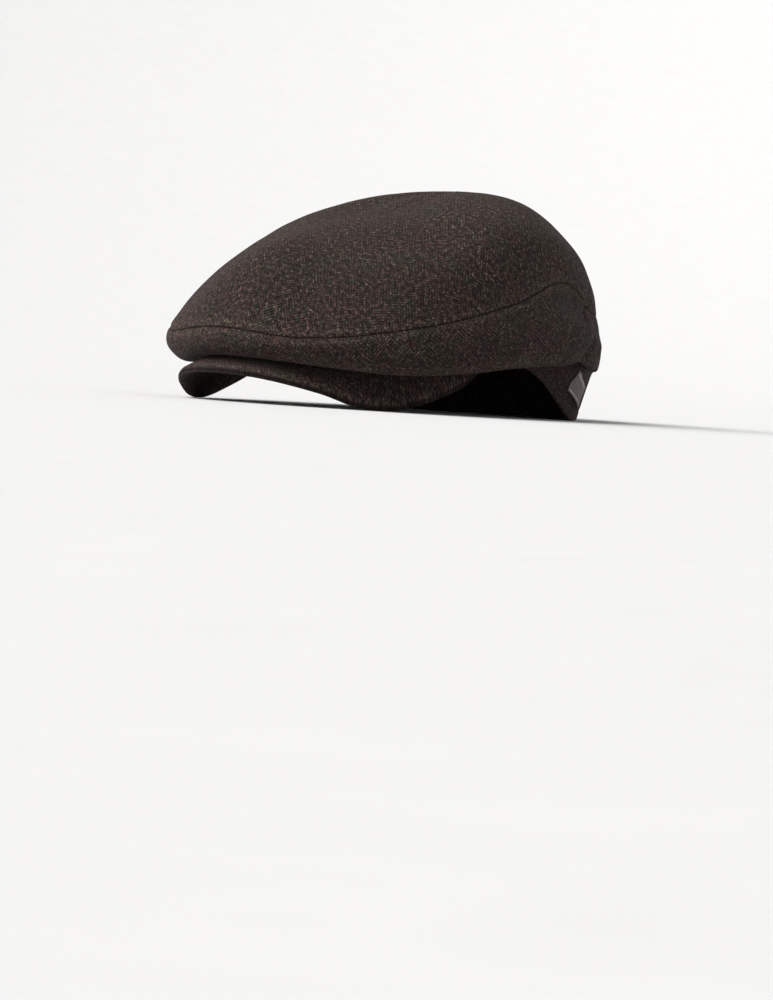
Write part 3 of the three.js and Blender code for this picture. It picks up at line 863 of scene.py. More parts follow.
lowest = peak_faces(False)[0].min()
low_turns = bump(peak_edge(peak_turns), LOW_RISE)[:, None]
settled = lowest * low_turns * bump(outer_edge, SETTLED_WIDTH)


def peak_cloth(name, on_top):
    """One cloth of the peak as a closed wall."""
    faces = [lower_face.copy(), lower_face.copy()]
    for face, height in zip(faces, peak_faces(on_top)):
        face[..., 2] = np.maximum(height - settled, 0)
    # Painted shade along the edge where the two peak cloths meet.
    sunk = bump(outer_edge, PEAK_SHADE)
    rubbed = bump(outer_edge - PEAK_RUBBED_FROM_EDGE, RUBBED_WIDTH)
    return wall_mesh(name, *faces, lower_face[..., :2].copy(), {"sunk": sunk, "rubbed": rubbed})


peak_under_cloth = peak_cloth("peak_under_cloth", False)
peak_top_cloth = peak_cloth("peak_top_cloth", True)
print("the edge settles by", round(float(lowest) / MM, 2), "mm")

# %% [markdown]
# A small woven label is sewn to the nape, at the wearer's left rear. It is bare: a plain band of satin
# weave with a border line. It lies on the side cloth at a slant, its stitches pull it in at both short
# ends, and it lifts a little between them. The way the nape faces changes all along it, so every point
# of the label is found on the nape and then lifted.

# %% Place of the label
LABEL_LENGTH = 24 * MM
LABEL_HEIGHT = 13 * MM
LABEL_TURN = 115.5
LABEL_ABOVE_HEM = 11 * MM
LABEL_SLANT = math.radians(24)
HALVINGS = 30


def nape_level(turn, height):
    """The level at which the nape cloth has a given height, found by halving."""
    high, low = np.full(turn.shape, float(TUCK_LEVEL)), np.full(turn.shape, float(HEM_LEVEL))
    for _ in range(HALVINGS):
        half = (high + low) / 2
        above = cloth_base(turn, half)[..., 2] > height
        high, low = np.where(above, half, high), np.where(above, low, half)
    return low


def label_place(along, up):
    """Turn and level of a place on the label, from its lower corner nearest the ear."""
    corner = math.radians(LABEL_TURN)
    stretch = math.hypot(head_half * math.cos(corner), head_front * math.sin(corner))
    turn = LABEL_TURN + np.degrees((along * math.cos(LABEL_SLANT) + up * math.sin(LABEL_SLANT)) / stretch)
    rise = up * math.cos(LABEL_SLANT) - along * math.sin(LABEL_SLANT)
    return turn, nape_level(turn, hem_height(LABEL_TURN) + LABEL_ABOVE_HEM + rise)


def label_surface(along, up, lift):
    """Points above the label's place on the nape, and the way it faces."""
    turn, level = label_place(along, up)
    normal = cloth_normal(turn, level)
    return cloth_base(turn, level) + normal * (lift - slump(turn, level))[..., None], normal


corner = label_surface(np.zeros(1), np.zeros(1), 0)[0][0]
print("the label's corner nearest the ear is", round(float(corner[2]) / MM, 1), "mm up")

# %% [markdown]
# The label's own mesh is a wall like the peak's, with closer rows at its edges so that they round over.
# Its middle bulges by a fraction of a millimetre with a few ripples, and its ends are drawn in.

# %% Label cloth
LABEL_THICKNESS = 0.8 * MM
LABEL_COLUMNS = 60
LABEL_ROWS = 34
NEAR_LABEL_EDGE = [0, 0.12, 0.3, 0.6, 1.0, 1.6]
LABEL_STITCH_IN = 1.5 * MM
LABEL_PULL, LABEL_PULL_WIDTH = 0.18 * MM, 0.7 * MM
LABEL_BILLOW, LABEL_RIPPLE, LABEL_RIPPLES = 0.22 * MM, 0.4, 9
LABEL_WORN_EDGE = 0.4 * MM


def label_steps(length, count):
    """Distances along one side of the label, closer together at both ends."""
    near_end = np.array(NEAR_LABEL_EDGE) * MM
    even = np.linspace(near_end[-1], length - near_end[-1], count)[1:-1]
    return np.concatenate([near_end, even, length - near_end[::-1]])


along, up = np.meshgrid(
    label_steps(LABEL_LENGTH, LABEL_COLUMNS), label_steps(LABEL_HEIGHT, LABEL_ROWS), indexing="ij"
)
end_distance = np.minimum(along, LABEL_LENGTH - along)
label_edge = np.minimum(end_distance, np.minimum(up, LABEL_HEIGHT - up))
label_half = half_round(label_edge, LABEL_THICKNESS)
pulled = LABEL_PULL * bump(end_distance - LABEL_STITCH_IN, LABEL_PULL_WIDTH)
ripple = 1 + LABEL_RIPPLE * np.sin(LABEL_RIPPLES * up / LABEL_HEIGHT)
billow = LABEL_BILLOW * np.sin(np.pi * along / LABEL_LENGTH) ** 2 * ripple
label_core, label_normal = label_surface(along, up, SEAM_GAP + LABEL_THICKNESS / 2 + billow)
label_cloth = wall_mesh(
    "label_cloth",
    label_core + label_normal * (label_half - pulled)[..., None],
    label_core - label_normal * label_half[..., None],
    np.stack([along, up], -1),
    {"sunk": np.zeros(along.shape), "rubbed": bump(label_edge, LABEL_WORN_EDGE)},
)

# %% [markdown]
# The label is held by a row of small stitches along each short end, and the hem by a row of its own.
# A stitch is a short piece of thread that dives into the cloth at both ends, so each one is a little
# bent tube with closed ends, thin enough to sink into the weave.

# %% One row of stitches
THREAD_SIDES = 6
THREAD_RINGS = 7
BOW_HEIGHT, BOW_SUNK = 0.75, 0.45
THREAD_END = 0.35


def stitches(name, starts, ends, lifts, thread):
    """One mesh of small thread tubes, each from a start to an end, bowed out along its lift."""
    points, faces, uv = [], [], []
    for start, end, lift in zip(starts, ends, lifts):
        way = end - start
        sideways = np.cross(way, lift)
        sideways /= np.linalg.norm(sideways)
        first = len(points)
        for r in range(THREAD_RINGS):
            t = r / (THREAD_RINGS - 1)
            bow = math.sin(math.pi * t)
            centre = start + way * t + lift * thread * (BOW_HEIGHT * bow - BOW_SUNK)
            radius = thread / 2 * (THREAD_END + (1 - THREAD_END) * bow**0.5)
            for k in range(THREAD_SIDES):
                a = 2 * math.pi * k / THREAD_SIDES
                points.append(centre + radius * (math.cos(a) * sideways + math.sin(a) * lift))
                uv.append((t * np.linalg.norm(way), k / THREAD_SIDES * thread))
        faces += grid_faces(THREAD_RINGS, THREAD_SIDES, close_columns=True, first=first, flip=True)
        start_ring = list(range(first, first + THREAD_SIDES))
        last = first + (THREAD_RINGS - 1) * THREAD_SIDES
        faces += [start_ring[::-1], list(range(last, last + THREAD_SIDES))]
    zero = np.zeros(len(points))
    return closed_mesh(name, np.array(points), faces, np.array(uv), {"sunk": zero, "rubbed": zero})


print("a stitch has", THREAD_SIDES * THREAD_RINGS, "points")

# %% Label stitches
LABEL_THREAD = 0.3 * MM
LABEL_STITCHES = 7
LABEL_STITCH, LABEL_STITCH_STEP, LABEL_STITCH_FIRST = 1.15 * MM, 1.62 * MM, 1 * MM
LABEL_STITCH_LIFT = SEAM_GAP + 0.75 * MM

starts, ends, lifts = [], [], []
for end_at in (LABEL_STITCH_IN, LABEL_LENGTH - LABEL_STITCH_IN):
    for k in range(LABEL_STITCHES):
        low = LABEL_STITCH_FIRST + LABEL_STITCH_STEP * k
        heights = np.array([low, low + LABEL_STITCH])
        places, normals = label_surface(np.full(2, end_at), heights, LABEL_STITCH_LIFT)
        starts.append(places[0])
        ends.append(places[1])
        lifts.append(normals[0])
label_stitches = stitches("label_stitches", starts, ends, lifts, LABEL_THREAD)
print(len(starts), "stitches on the label")

# %% [markdown]
# The hem's stitches follow a line at one distance up from the hem. The line is traced with many fine
# points on the finished surface, and its length is then shared out into stitches with small gaps.

# %% Hem stitches
HEM_THREAD = 0.42 * MM
HEM_STITCH = 3.4 * MM
STITCH_GAP = 0.3 * MM
LINE_STEPS = 2880
LENGTH_STEPS = 300

fine_turns = np.linspace(-180, 180, LINE_STEPS + 1)
fine_length = arc_lengths(fine_turns, SEAM_LEVEL, HEM_LEVEL, LENGTH_STEPS)[1][:, -1]
fine_levels = levels_at(fine_turns, (fine_length - HEM_STITCH_UP)[:, None], SEAM_LEVEL, HEM_LEVEL)[:, 0]
line_normal = cloth_normal(fine_turns, fine_levels)
line_depth = slump(fine_turns, fine_levels) + STITCH_GROOVE
line = cloth_base(fine_turns, fine_levels) - line_normal * line_depth[:, None]
run = np.concatenate([[0], np.linalg.norm(np.diff(line, axis=0), axis=-1).cumsum()])


def along_hem(distance, values):
    """The values of the stitched line at a distance along it."""
    return np.array([np.interp(distance, run, values[:, i]) for i in range(3)])


starts, ends, lifts = [], [], []
for k in range(int(run[-1] / HEM_STITCH)):
    a, b = k * HEM_STITCH + STITCH_GAP, (k + 1) * HEM_STITCH - STITCH_GAP
    lift = along_hem((a + b) / 2, line_normal)
    starts.append(along_hem(a, line))
    ends.append(along_hem(b, line))
    lifts.append(lift / np.linalg.norm(lift))
hem_stitches = stitches("hem_stitches", starts, ends, lifts, HEM_THREAD)
print(len(starts), "stitches round the hem")

# %% [markdown]
# The wool is woven in the shader, because its threads are half a millimetre wide and there are far too
# many of them to model. That takes a great deal of arithmetic. To keep it readable, one small class
# wraps an output socket, so that ordinary expressions such as 1 - mask add the Math nodes.

# %% Signals
class Signal:
    """A number that changes over the surface. Arithmetic on it adds Math nodes."""

    def __init__(self, finish, socket):
        self.finish, self.socket = finish, socket

    def math(self, operation, *others):
        sockets = dict(enumerate([self, *others]))
        return self.finish.node("ShaderNodeMath", {"operation": operation}, sockets)

    def math_after(self, operation, first):
        return self.finish.node("ShaderNodeMath", {"operation": operation}, {0: first, 1: self})

    def least(self, other):
        return self.math("MINIMUM", other)

    def wave(self):
        """A sine, brought to 0 to 1."""
        return self.math("SINE") * 0.5 + 0.5

    def __add__(self, other):
        return self.math("ADD", other)

    def __sub__(self, other):
        return self.math("SUBTRACT", other)

    def __rsub__(self, other):
        return self.math_after("SUBTRACT", other)

    def __mul__(self, other):
        return self.math("MULTIPLY", other)

    def __truediv__(self, other):
        return self.math("DIVIDE", other)

    def __pow__(self, other):
        return self.math("POWER", other)

    def __mod__(self, other):
        return self.math("FLOORED_MODULO", other)

    def __lt__(self, other):
        return self.math("LESS_THAN", other)

    def floor(self):
        return self.math("FLOOR")

    def within(self, low, high):
        """0 at low, 1 at high, held between them."""
        settings = {"clamp": True}
        return self.finish.node("ShaderNodeMapRange", settings, {0: self, 1: low, 2: high, 3: 0, 4: 1})

    __radd__, __rmul__ = __add__, __mul__


print("beside arithmetic, a signal has", [key for key in vars(Signal) if not key.startswith("_")])

# %% [markdown]
# A material is a Principled shader with other nodes in front of it. Values that are the same all over go
# straight into the shader's sockets. What changes over the surface comes from nodes, and one method
# makes them all: it sets their options, joins their inputs and hands back one output as a signal.

# %% Finishes
class Finish:
    """One material and the nodes that make it."""

    def __init__(self, name, **fixed):
        self.material = bpy.data.materials.new(name)
        self.material.use_nodes = True
        self.tree = self.material.node_tree
        self.tree.nodes.clear()
        self.shader = self.tree.nodes.new("ShaderNodeBsdfPrincipled")
        output = self.tree.nodes.new("ShaderNodeOutputMaterial")
        self.tree.links.new(self.shader.outputs[0], output.inputs[0])
        for key, value in fixed.items():
            self.shader.inputs[key.replace("_", " ")].default_value = value

    def set(self, node, sockets):
        """Gives sockets their values, or links them."""
        for key, value in sockets.items():
            if isinstance(value, Signal):
                self.tree.links.new(value.socket, node.inputs[key])
            else:
                node.inputs[key].default_value = value

    def node(self, kind, settings=None, sockets=None, output=0):
        """A new node of any kind, as the signal of one of its outputs."""
        made = self.tree.nodes.new(kind)
        for key, value in (settings or {}).items():
            if key == "stops":
                while len(made.color_ramp.elements) < len(value):
                    made.color_ramp.elements.new(0.5)
                for element, (position, colour) in zip(made.color_ramp.elements, value):
                    element.position, element.color = position, (*colour, 1)
            else:
                setattr(made, key, value)
        self.set(made, sockets or {})
        return Signal(self, made.outputs[output])

    def value(self, name):
        """A point value of the mesh."""
        return self.node("ShaderNodeAttribute", {"attribute_name": name}, output=2)

    def places(self):
        """Across and along the cloth before it was sewn, in metres."""
        uv = self.node("ShaderNodeUVMap", {"uv_map": "cloth"})
        parts = self.node("ShaderNodeSeparateXYZ", None, {0: uv})
        return parts, Signal(self, parts.socket.node.outputs[1])

    def noise(self, x, y, detail=2.0, z=0.0):
        """Soft noise from 0 to 1 that repeats nowhere, at a scale set by x and y."""
        spot = self.node("ShaderNodeCombineXYZ", None, {0: x, 1: y, 2: z})
        sockets = {"Vector": spot, "Scale": 1.0, "Detail": detail}
        return self.node("ShaderNodeTexNoise", {"noise_dimensions": "3D"}, sockets)

    def mix(self, share, first, second, blend="MIX"):
        """The first colour turned into the second by the share from 0 to 1."""
        settings = {"data_type": "RGBA", "blend_type": blend, "clamp_factor": True}
        return self.node("ShaderNodeMix", settings, {0: share, 6: first, 7: second}, output=2)

    def ramp(self, signal, stops):
        """Colours picked by a signal, from stops of a position and a colour."""
        return self.node("ShaderNodeValToRGB", {"stops": stops}, {0: signal})

    def tinted(self, colour, signal, stops, share=1.0):
        """A colour multiplied by the colours of a ramp."""
        return self.mix(share, colour, self.ramp(signal, stops), "MULTIPLY")

    def finished(self, colour, roughness, height, distance, strength=1.0):
        """The material, with its changing inputs joined up."""
        sockets = {"Height": height, "Distance": distance, "Strength": strength}
        normal = self.node("ShaderNodeBump", None, sockets)
        self.set(self.shader, {"Base Color": colour, "Roughness": roughness, "Normal": normal})
        return self.material


print("a finish has", [key for key in vars(Finish) if not key.startswith("_")])

# %% [markdown]
# The colours were chosen beside the photograph, as screen values from 0 to 255. A screen stores them
# bent, to spare the dark tones, while a shader adds up light, so they are straightened first.

# %% Screen colours
LINEAR_UNTIL, LINEAR_SLOPE = 0.04045, 12.92
OFFSET, EXPONENT = 0.055, 2.4


def srgb(red, green, blue):
    """A screen colour, 0 to 255, as the linear colour that shaders use."""
    shares = [value / 255 for value in (red, green, blue)]
    return tuple(
        x / LINEAR_SLOPE if x < LINEAR_UNTIL else ((x + OFFSET) / (1 + OFFSET)) ** EXPONENT for x in shares
    )


print("dark wool in linear light", [round(c, 4) for c in srgb(62, 53, 49)])

# %% [markdown]
# Herringbone is a twill whose lean turns over at every column. In a two-and-two twill each thread goes
# over two threads and under two, and every next thread starts one later, which draws the slanted lines.
# The yarn is dyed before it is spun, so each thread carries its own streaks of taupe, mauve, green grey
# and rust. These colours stand as short lists of a position and a colour, which ramps run through.

# %% Yarn colours
YARN = {
    "light": [
        (0.3, srgb(52, 46, 45)), (0.42, srgb(65, 55, 50)), (0.5, srgb(62, 49, 50)),
        (0.58, srgb(70, 63, 54)), (0.7, srgb(54, 55, 50)),
    ],
    "dark": [
        (0.3, srgb(27, 23, 23)), (0.42, srgb(36, 31, 30)), (0.5, srgb(42, 32, 31)),
        (0.58, srgb(31, 31, 29)), (0.7, srgb(43, 36, 31)),
    ],
}
GRAIN = [
    (0.3, (0.2, 0.2, 0.2)), (0.46, (0.62, 0.61, 0.6)), (0.57, (1.3, 1.29, 1.27)), (0.68, (3.4, 3.4, 3.45)),
]
FLECKS = [(0.3, (0.55, 0.55, 0.58)), (0.5, (0.92, 0.92, 0.92)), (0.7, (1.55, 1.56, 1.6))]
LOCKS = [(0.32, (0.5, 0.5, 0.52)), (0.5, (1.0, 1.0, 0.98)), (0.66, (1.7, 1.72, 1.72))]
HUES = [
    (0.36, (0.8, 1.0, 0.93)), (0.46, (0.98, 0.96, 0.94)),
    (0.54, (1.02, 0.93, 0.98)), (0.64, (1.18, 0.9, 0.88)),
]
CASTS = [(0.34, (1.06, 0.92, 1.0)), (0.5, (0.98, 0.96, 0.94)), (0.66, (0.92, 1.03, 0.98))]
TONES = [(0.25, srgb(222, 220, 219)), (0.75, srgb(255, 252, 250))]
# Painted shade for the hollows between threads: the lower the cloth, the darker.
HOLLOW_SHADE = [(0.0, srgb(150, 144, 142)), (0.6, srgb(255, 255, 255))]
RUBBED_COLOUR = (*srgb(112, 97, 88), 1)
# A dark colour for painted shade at the bottom of seams and grooves.
SUNK_SHADE_COLOUR = (*srgb(14, 9, 8), 1)
print("yarn colours:", {kind: len(stops) for kind, stops in YARN.items()})

# %% [markdown]
# Soft noises break the pattern up. Each has a scale, in waves for each metre of cloth, a detail and an
# offset that keeps it apart from the others. The slow ones bend the columns and shift the shade, and the
# fine ones are hairs and specks. Twill tells which of two threads is on top at a point, and how high
# the cloth is there, by counting threads across and along it.

# %% Noises and twill
THREAD_PITCH = 0.58 * MM
REPEAT = 4
THREAD_EDGE, THREAD_CROWN = 0.4, 2.4
NOISE_COLUMNS = ("scale", "detail", "offset")
NOISES = {
    "drift": (55, 1.0, 0),
    "wander": (300, 2.0, 3),
    "matted": (38, 2.0, 31),
    "tangle": (1500, 2.0, 7),
    "speck": (1250, 2.0, 17),
    "fleck": (620, 1.0, 19),
    "lock": (400, 1.0, 29),
    "heather": (330, 3.0, 13),
    "cast": (42, 2.0, 23),
    "tone": (26, 2.0, 21),
    "fuzz": (4200, 2.0, 2),
}
COLUMN_DRIFT, ROW_DRIFT, THREAD_WANDER = 3.4, 3.0, 1.7
STREAK_LONG, STREAK_SHORT = 0.22, 0.9


def cloth_noise(finish, kind, u, v, shift, size=1.0):
    """One of the noises on the cloth, its waves made size times as long."""
    row = dict(zip(NOISE_COLUMNS, NOISES[kind]))
    scale = row["scale"] / size
    return finish.noise(u * scale, v * scale, row["detail"], shift + row["offset"])


def twill(across, along, column_threads):
    """Where the lengthwise thread is on top, and how high the cloth is, at a count of threads."""
    odd = (across / column_threads).floor() % 2
    lean = 1 - 2 * odd
    i, j = across.floor(), along.floor()
    count = (lean * i + j + 2 * odd) % REPEAT
    warp_up = count < 1.5
    in_warp, in_weft = across - i, along - j
    warp_way = (count + in_weft) * 0.5
    weft_way = (lean * (count - 2.5) + 0.5 + in_warp) * 0.5
    heights = [
        (inside * (1 - inside) * 4) ** 0.5 * (THREAD_EDGE + THREAD_CROWN * way * (1 - way))
        for inside, way in ((in_warp, warp_way), (in_weft, weft_way))
    ]
    return warp_up, warp_up * heights[0] + (1 - warp_up) * heights[1]


print(len(NOISES), "noises, and a thread every", THREAD_PITCH / MM, "mm")

# %% [markdown]
# The three wools are one material with different settings. The side and peak cloths are crisp. The top
# cloth is worn: where it is matted, the threads lose themselves in tangled hair, and longer hair lies
# over it in darker and lighter locks. Seams are rubbed paler, and their sunk lines get painted shade,
# which the meshes tell the material through their two values. The hollows between the threads get
# painted shade too.

# %% Herringbone wool
WOOL_COLUMNS = ("name", "column_threads", "shift", "matted_from", "matted_to", "hair_size", "lock_depth")
WOOL_TABLE = [
    ("herringbone_wool_top", 16, 0.0, 0.46, 0.74, 1.7, 1.0),
    ("herringbone_wool_side", 16, 0.37, 0.34, 0.62, 1.0, 0.0),
    ("herringbone_wool_peak", 15, 0.71, 0.34, 0.62, 1.0, 0.0),
]
SHEEN = {"Sheen_Weight": 0.06, "Sheen_Roughness": 0.5, "Sheen_Tint": (*srgb(168, 152, 146), 1)}
COLUMN_SHIFT = 10
WARP_STREAK, WEFT_STREAK = {"place": 17, "offset": 5}, {"place": 41, "offset": 9}
WOVEN_LEAST = 0.4
SHADE_DEPTH, SHADE_TANGLE = 0.75, 0.8
RUBBED_SHARE = 0.3
SUNK_SHADE_SHARE, SUNK_SHADE_FLECKED = 0.45, 0.5
ROUGH, ROUGH_FUZZ = 0.82, 0.14
RELIEF_MATTED, RELIEF_WOVEN, RELIEF_FUZZ, RELIEF_TANGLE = 0.35, 0.5, 0.6, 1.1
WOOL_RELIEF = 0.2 * MM
WOOL_RELIEF_STRENGTH = 0.8


def herringbone(name, column_threads, shift, matted_from, matted_to, hair_size, lock_depth):
    """Wool in two-and-two twill whose columns are column_threads wide."""
    finish = Finish(name, Specular_IOR_Level=0.12, **SHEEN)
    u, v = finish.places()
    drift, wander, matted, tangle, lock, heather, cast, tone, fuzz = (
        cloth_noise(finish, kind, u, v, shift)
        for kind in ("drift", "wander", "matted", "tangle", "lock", "heather", "cast", "tone", "fuzz")
    )
    speck, fleck = (cloth_noise(finish, kind, u, v, shift, hair_size) for kind in ("speck", "fleck"))

    wandering = (wander - 0.5) * THREAD_WANDER
    across = u / THREAD_PITCH + (drift - 0.5) * COLUMN_DRIFT + wandering + shift * COLUMN_SHIFT
    along = v / THREAD_PITCH + (drift - 0.5) * ROW_DRIFT + wandering
    warp_up, height = twill(across, along, column_threads)
    warp_streak = finish.noise(
        across * STREAK_SHORT + WARP_STREAK["place"], along * STREAK_LONG, 2.0, shift + WARP_STREAK["offset"]
    )
    weft_streak = finish.noise(
        across * STREAK_LONG, along * STREAK_SHORT + WEFT_STREAK["place"], 2.0, shift + WEFT_STREAK["offset"]
    )
    streak = warp_up * warp_streak + (1 - warp_up) * weft_streak

    woven = WOVEN_LEAST + (1 - WOVEN_LEAST) * (1 - matted.within(matted_from, matted_to))
    light_share = warp_up * woven + tangle.within(0.36, 0.64) * (1 - woven)
    light, dark = finish.ramp(warp_streak, YARN["light"]), finish.ramp(weft_streak, YARN["dark"])
    colour = finish.mix(light_share, dark, light)
    colour = finish.tinted(colour, streak * 0.5 + speck * 0.5, GRAIN)
    colour = finish.tinted(colour, fleck, FLECKS)
    colour = finish.tinted(colour, lock, LOCKS, lock_depth)
    colour = finish.tinted(colour, heather, HUES)
    colour = finish.tinted(colour, cast, CASTS)
    colour = finish.tinted(colour, tone, TONES)
    # Painted shade: the low places of the twill are darkened, as shade would fall there.
    colour = finish.tinted(colour, height + (tangle - 0.5) * SHADE_TANGLE, HOLLOW_SHADE, SHADE_DEPTH)
    rubbed = finish.value("rubbed") * speck.within(0.45, 0.65) * RUBBED_SHARE
    colour = finish.mix(rubbed, colour, RUBBED_COLOUR)
    # Painted shade darkens the seams' sunk lines, broken up by the flecks.
    sunk = finish.value("sunk") * (SUNK_SHADE_SHARE + SUNK_SHADE_FLECKED * fleck.within(0.35, 0.6))
    colour = finish.mix(sunk, colour, SUNK_SHADE_COLOUR)
    relief = height * (RELIEF_MATTED + RELIEF_WOVEN * woven) + fuzz * RELIEF_FUZZ + tangle * RELIEF_TANGLE
    return finish.finished(colour, ROUGH + ROUGH_FUZZ * fuzz, relief, WOOL_RELIEF, WOOL_RELIEF_STRENGTH)


wool_top, wool_side, wool_peak = (herringbone(**dict(zip(WOOL_COLUMNS, row))) for row in WOOL_TABLE)
for cloth, wool in [
    (top_cloth, wool_top), (side_cloth, wool_side),
    (peak_top_cloth, wool_peak), (peak_under_cloth, wool_peak),
]:
    cloth.data.materials.append(wool)
print("wool nodes:", len(wool_top.node_tree.nodes))

# %% [markdown]
# The label is a smooth satin band in warm grey with a paler border woven round it. Two waves draw its
# fine ribs, and painted shade darkens the grooves between them. The distance from the nearest edge,
# which is the least of four distances, draws the border.

# %% Label finish
WEAVE_WIDTH, WEAVE_DEPTH = 0.32 * MM, 0.26 * MM
BORDER_FROM, BORDER_TO = 0.9 * MM, 1.75 * MM
BORDER_SOFTNESS = 0.15 * MM
PATCH_SCALE = 900
LABEL_RELIEF = 0.08 * MM
FULL_TURN = 2 * math.pi

label_finish = Finish("satin_label", Sheen_Weight=0.15, Sheen_Roughness=0.4, Specular_IOR_Level=0.35)
u, v = label_finish.places()
rib = (u * (FULL_TURN / WEAVE_WIDTH)).wave()
cross_rib = (v * (FULL_TURN / WEAVE_DEPTH)).wave()
from_ends, from_sides = u.least(LABEL_LENGTH - u), v.least(LABEL_HEIGHT - v)
from_edge = from_ends.least(from_sides)
border = from_edge.within(BORDER_FROM, BORDER_FROM + BORDER_SOFTNESS) * (
    1 - from_edge.within(BORDER_TO, BORDER_TO + BORDER_SOFTNESS)
)
patch = label_finish.noise(u * PATCH_SCALE, v * PATCH_SCALE, 3.0)
ground = label_finish.ramp(patch, [(0.3, srgb(74, 65, 62)), (0.7, srgb(112, 99, 94))])
colour = label_finish.mix(border, ground, (*srgb(182, 169, 163), 1))
# Painted shade in the grooves between the ribs.
colour = label_finish.mix((1 - rib * cross_rib) * 0.35, colour, (*srgb(70, 60, 58), 1))
relief = rib * 0.6 + cross_rib * 0.4 + patch * 0.4
satin = label_finish.finished(colour, 0.5 + 0.25 * patch, relief, LABEL_RELIEF)
label_cloth.data.materials.append(satin)
print("border line", round(float(LABEL_LENGTH - 2 * BORDER_FROM), 4), "m long")

# %% [markdown]
# A thread is twisted from strands. A wave that runs slanted along and round each stitch gives both the
# strands' relief and their colour: the thread's brown, with painted shade darkening the grooves between
# strands.

# %% Thread finish
TWIST_ALONG, TWIST_ROUND = 0.45 * MM, 0.2 * MM
THREAD_RELIEF = 0.06 * MM

thread_finish = Finish("waxed_thread", Sheen_Weight=0.1, Specular_IOR_Level=0.4)
u, v = thread_finish.places()
twist = ((u / TWIST_ALONG + v / TWIST_ROUND) * FULL_TURN).wave()
# The thread's brown, painted darker in the grooves between strands as shade.
shaded_strand = thread_finish.ramp(twist, [(0.0, srgb(38, 29, 27)), (1.0, srgb(74, 60, 54))])
thread = thread_finish.finished(shaded_strand, 0.55 + 0.2 * twist, twist, THREAD_RELIEF)
label_stitches.data.materials.append(thread)
hem_stitches.data.materials.append(thread)
print("thread nodes:", len(thread.node_tree.nodes))

# %% [markdown]
# The cap stands on a pale table that curves up into its own backdrop. The sweep is round like a shallow
# bowl, wide enough to hold the camera, so the cap has the same plain setting from every side and no
# horizon line shows.

# %% Table and backdrop
FLOOR_RINGS = (0.15, 0.3, 0.6, 1.0, 1.6, 2.1, 2.6)
SWEEP_RADIUS = 5.0
SWEEP_END = math.radians(52)
SWEEP_RINGS = 24
TABLE_SIDES = 96
OBJECT_PLACE = 3

floor_radius = FLOOR_RINGS[-1]
profile = [(r, 0.0) for r in FLOOR_RINGS]
profile += [
    (floor_radius + SWEEP_RADIUS * math.sin(rise), SWEEP_RADIUS * (1 - math.cos(rise)))
    for rise in np.linspace(0, SWEEP_END, SWEEP_RINGS + 1)[1:]
]
points = [(0.0, 0.0, 0.0)]
for r, z in profile:
    for k in range(TABLE_SIDES):
        a = 2 * math.pi * k / TABLE_SIDES
        points.append((r * math.cos(a), r * math.sin(a), z))
faces = [(0, 1 + k, 1 + (k + 1) % TABLE_SIDES) for k in range(TABLE_SIDES)]
faces += grid_faces(len(profile), TABLE_SIDES, close_columns=True, first=1)
floor_mesh = bpy.data.meshes.new("pale_table")
floor_mesh.from_pydata(points, [], faces)
floor_mesh.shade_smooth()
floor = bpy.data.objects.new("pale_table", floor_mesh)
bpy.context.scene.collection.objects.link(floor)
table_finish = Finish("pale_paint", Specular_IOR_Level=0.2)
spot = table_finish.node("ShaderNodeTexCoord", output=OBJECT_PLACE)
grain = table_finish.node("ShaderNodeTexNoise", None, {"Vector": spot, "Scale": 40.0, "Detail": 4.0})
paint = table_finish.ramp(grain, [(0.3, (0.6, 0.6, 0.604)), (0.7, (0.615, 0.615, 0.619))])
floor.data.materials.append(table_finish.finished(paint, 0.75 + 0.1 * grain, grain, 0.05 * MM, 0.3))
print("table", 2 * floor_radius, "m across, backdrop", round(profile[-1][1], 2), "m high")

# %% [markdown]
# Three soft suns and a white room light the cap. The high one comes from over the front and fills the
# top. The low one comes from the far side of the peak and brightens the edges that turn away from the
# camera. A weak one beside the camera reaches under the peak and into the hollow. Suns light the table
# and the backdrop evenly, and the table throws light back up.

# %% Lights
ROOM_LIGHT = 0.4
SUNS = {
    "high_sun": {"comes_from": (-0.4, -1.0, 1.5), "power": 3.1, "width": math.radians(40)},
    "low_sun": {"comes_from": (-1.0, -0.9, 0.45), "power": 3.6, "width": math.radians(50)},
    "camera_sun": {"comes_from": (1.0, -1.1, 0.14), "power": 0.55, "width": math.radians(20)},
}
world = bpy.data.worlds.new("white_room")
world.use_nodes = True
world.node_tree.nodes["Background"].inputs[0].default_value = (1.0, 0.995, 0.985, 1)
world.node_tree.nodes["Background"].inputs[1].default_value = ROOM_LIGHT
bpy.context.scene.world = world
for name, settings in SUNS.items():
    light = bpy.data.lights.new(name, "SUN")
    light.energy, light.angle, light.color = settings["power"], settings["width"], (1, 0.99, 0.975)
    sun = bpy.data.objects.new(name, light)
    sun.rotation_euler = (-Vector(settings["comes_from"])).to_track_quat("-Z", "Y").to_euler()
    bpy.context.scene.collection.objects.link(sun)
bpy.context.scene.view_settings.view_transform = "Standard"
bpy.context.scene.view_settings.look = "None"

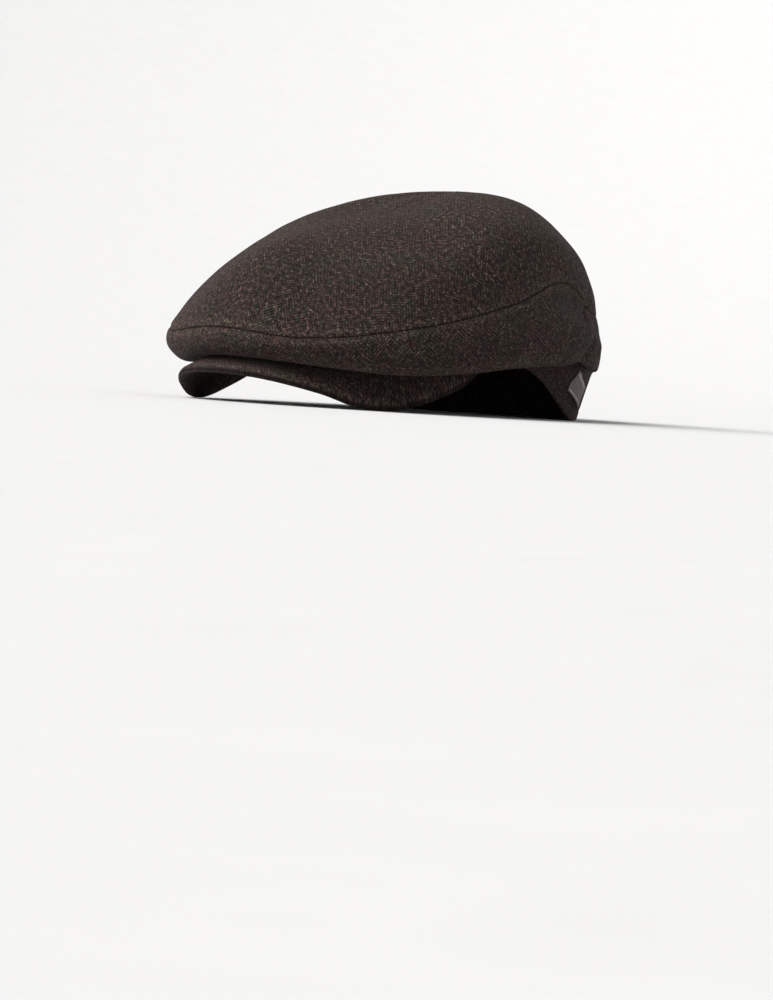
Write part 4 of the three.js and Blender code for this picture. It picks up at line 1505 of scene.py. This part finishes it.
# %% [markdown]
# The photograph was taken from the cap's front left, from just above the table, with a long lens. The
# camera's place was worked out from the outline: which way it looks, how far away it is, and a small
# roll. Turning, tilting and rolling are written as three directions, and those fill the matrix.

# %% Camera
AZIMUTH = math.radians(44.97)
DISTANCE = 2.2
EYE_HEIGHT = 0.028
PITCH_DOWN = math.radians(2.03)
YAW = math.radians(0.2)
ROLL = math.radians(3.59)
FOCAL_PIXELS = 4000
PICTURE_HEIGHT = 1000
SENSOR = 36

heading = AZIMUTH + YAW
ahead = Vector((-math.sin(heading), math.cos(heading), 0))
forward = ahead * math.cos(PITCH_DOWN) - Vector((0, 0, math.sin(PITCH_DOWN)))
level_right = Vector((math.cos(heading), math.sin(heading), 0))
level_up = level_right.cross(forward)
right = math.cos(ROLL) * level_right + math.sin(ROLL) * level_up
upward = -math.sin(ROLL) * level_right + math.cos(ROLL) * level_up
camera_data = bpy.data.cameras.new("camera")
camera_data.sensor_width = SENSOR
camera_data.lens = SENSOR * FOCAL_PIXELS / PICTURE_HEIGHT
camera = bpy.data.objects.new("camera", camera_data)
bpy.context.scene.collection.objects.link(camera)
turned = Matrix((right, upward, -forward)).transposed().to_4x4()
place = Vector((DISTANCE * math.sin(AZIMUTH), -DISTANCE * math.cos(AZIMUTH) - middle, EYE_HEIGHT))
camera.matrix_world = Matrix.Translation(place) @ turned
bpy.context.scene.camera = camera
print("lens", camera_data.lens, "mm, camera at", [round(c, 4) for c in place])

# %% [markdown]
# Last, each fine piece is hung on the cap's root and the plain node it stands for is hidden. The
# stitches are hung on the root as well.

# %% Hang the fine pieces on the root
REPLACED = [
    (top_cloth, "top_panel", "wool_top"),
    (side_cloth, "side_panel", "wool_side"),
    (peak_top_cloth, "peak_top", "wool_peak"),
    (peak_under_cloth, "peak_under", "wool_peak_under"),
    (label_cloth, "label", "label_weave"),
]
for piece, node, slot in REPLACED:
    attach(piece, "root")
    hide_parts(node)
for piece, slot in [(label_stitches, "label_weave"), (hem_stitches, "wool_side")]:
    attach(piece, "root")
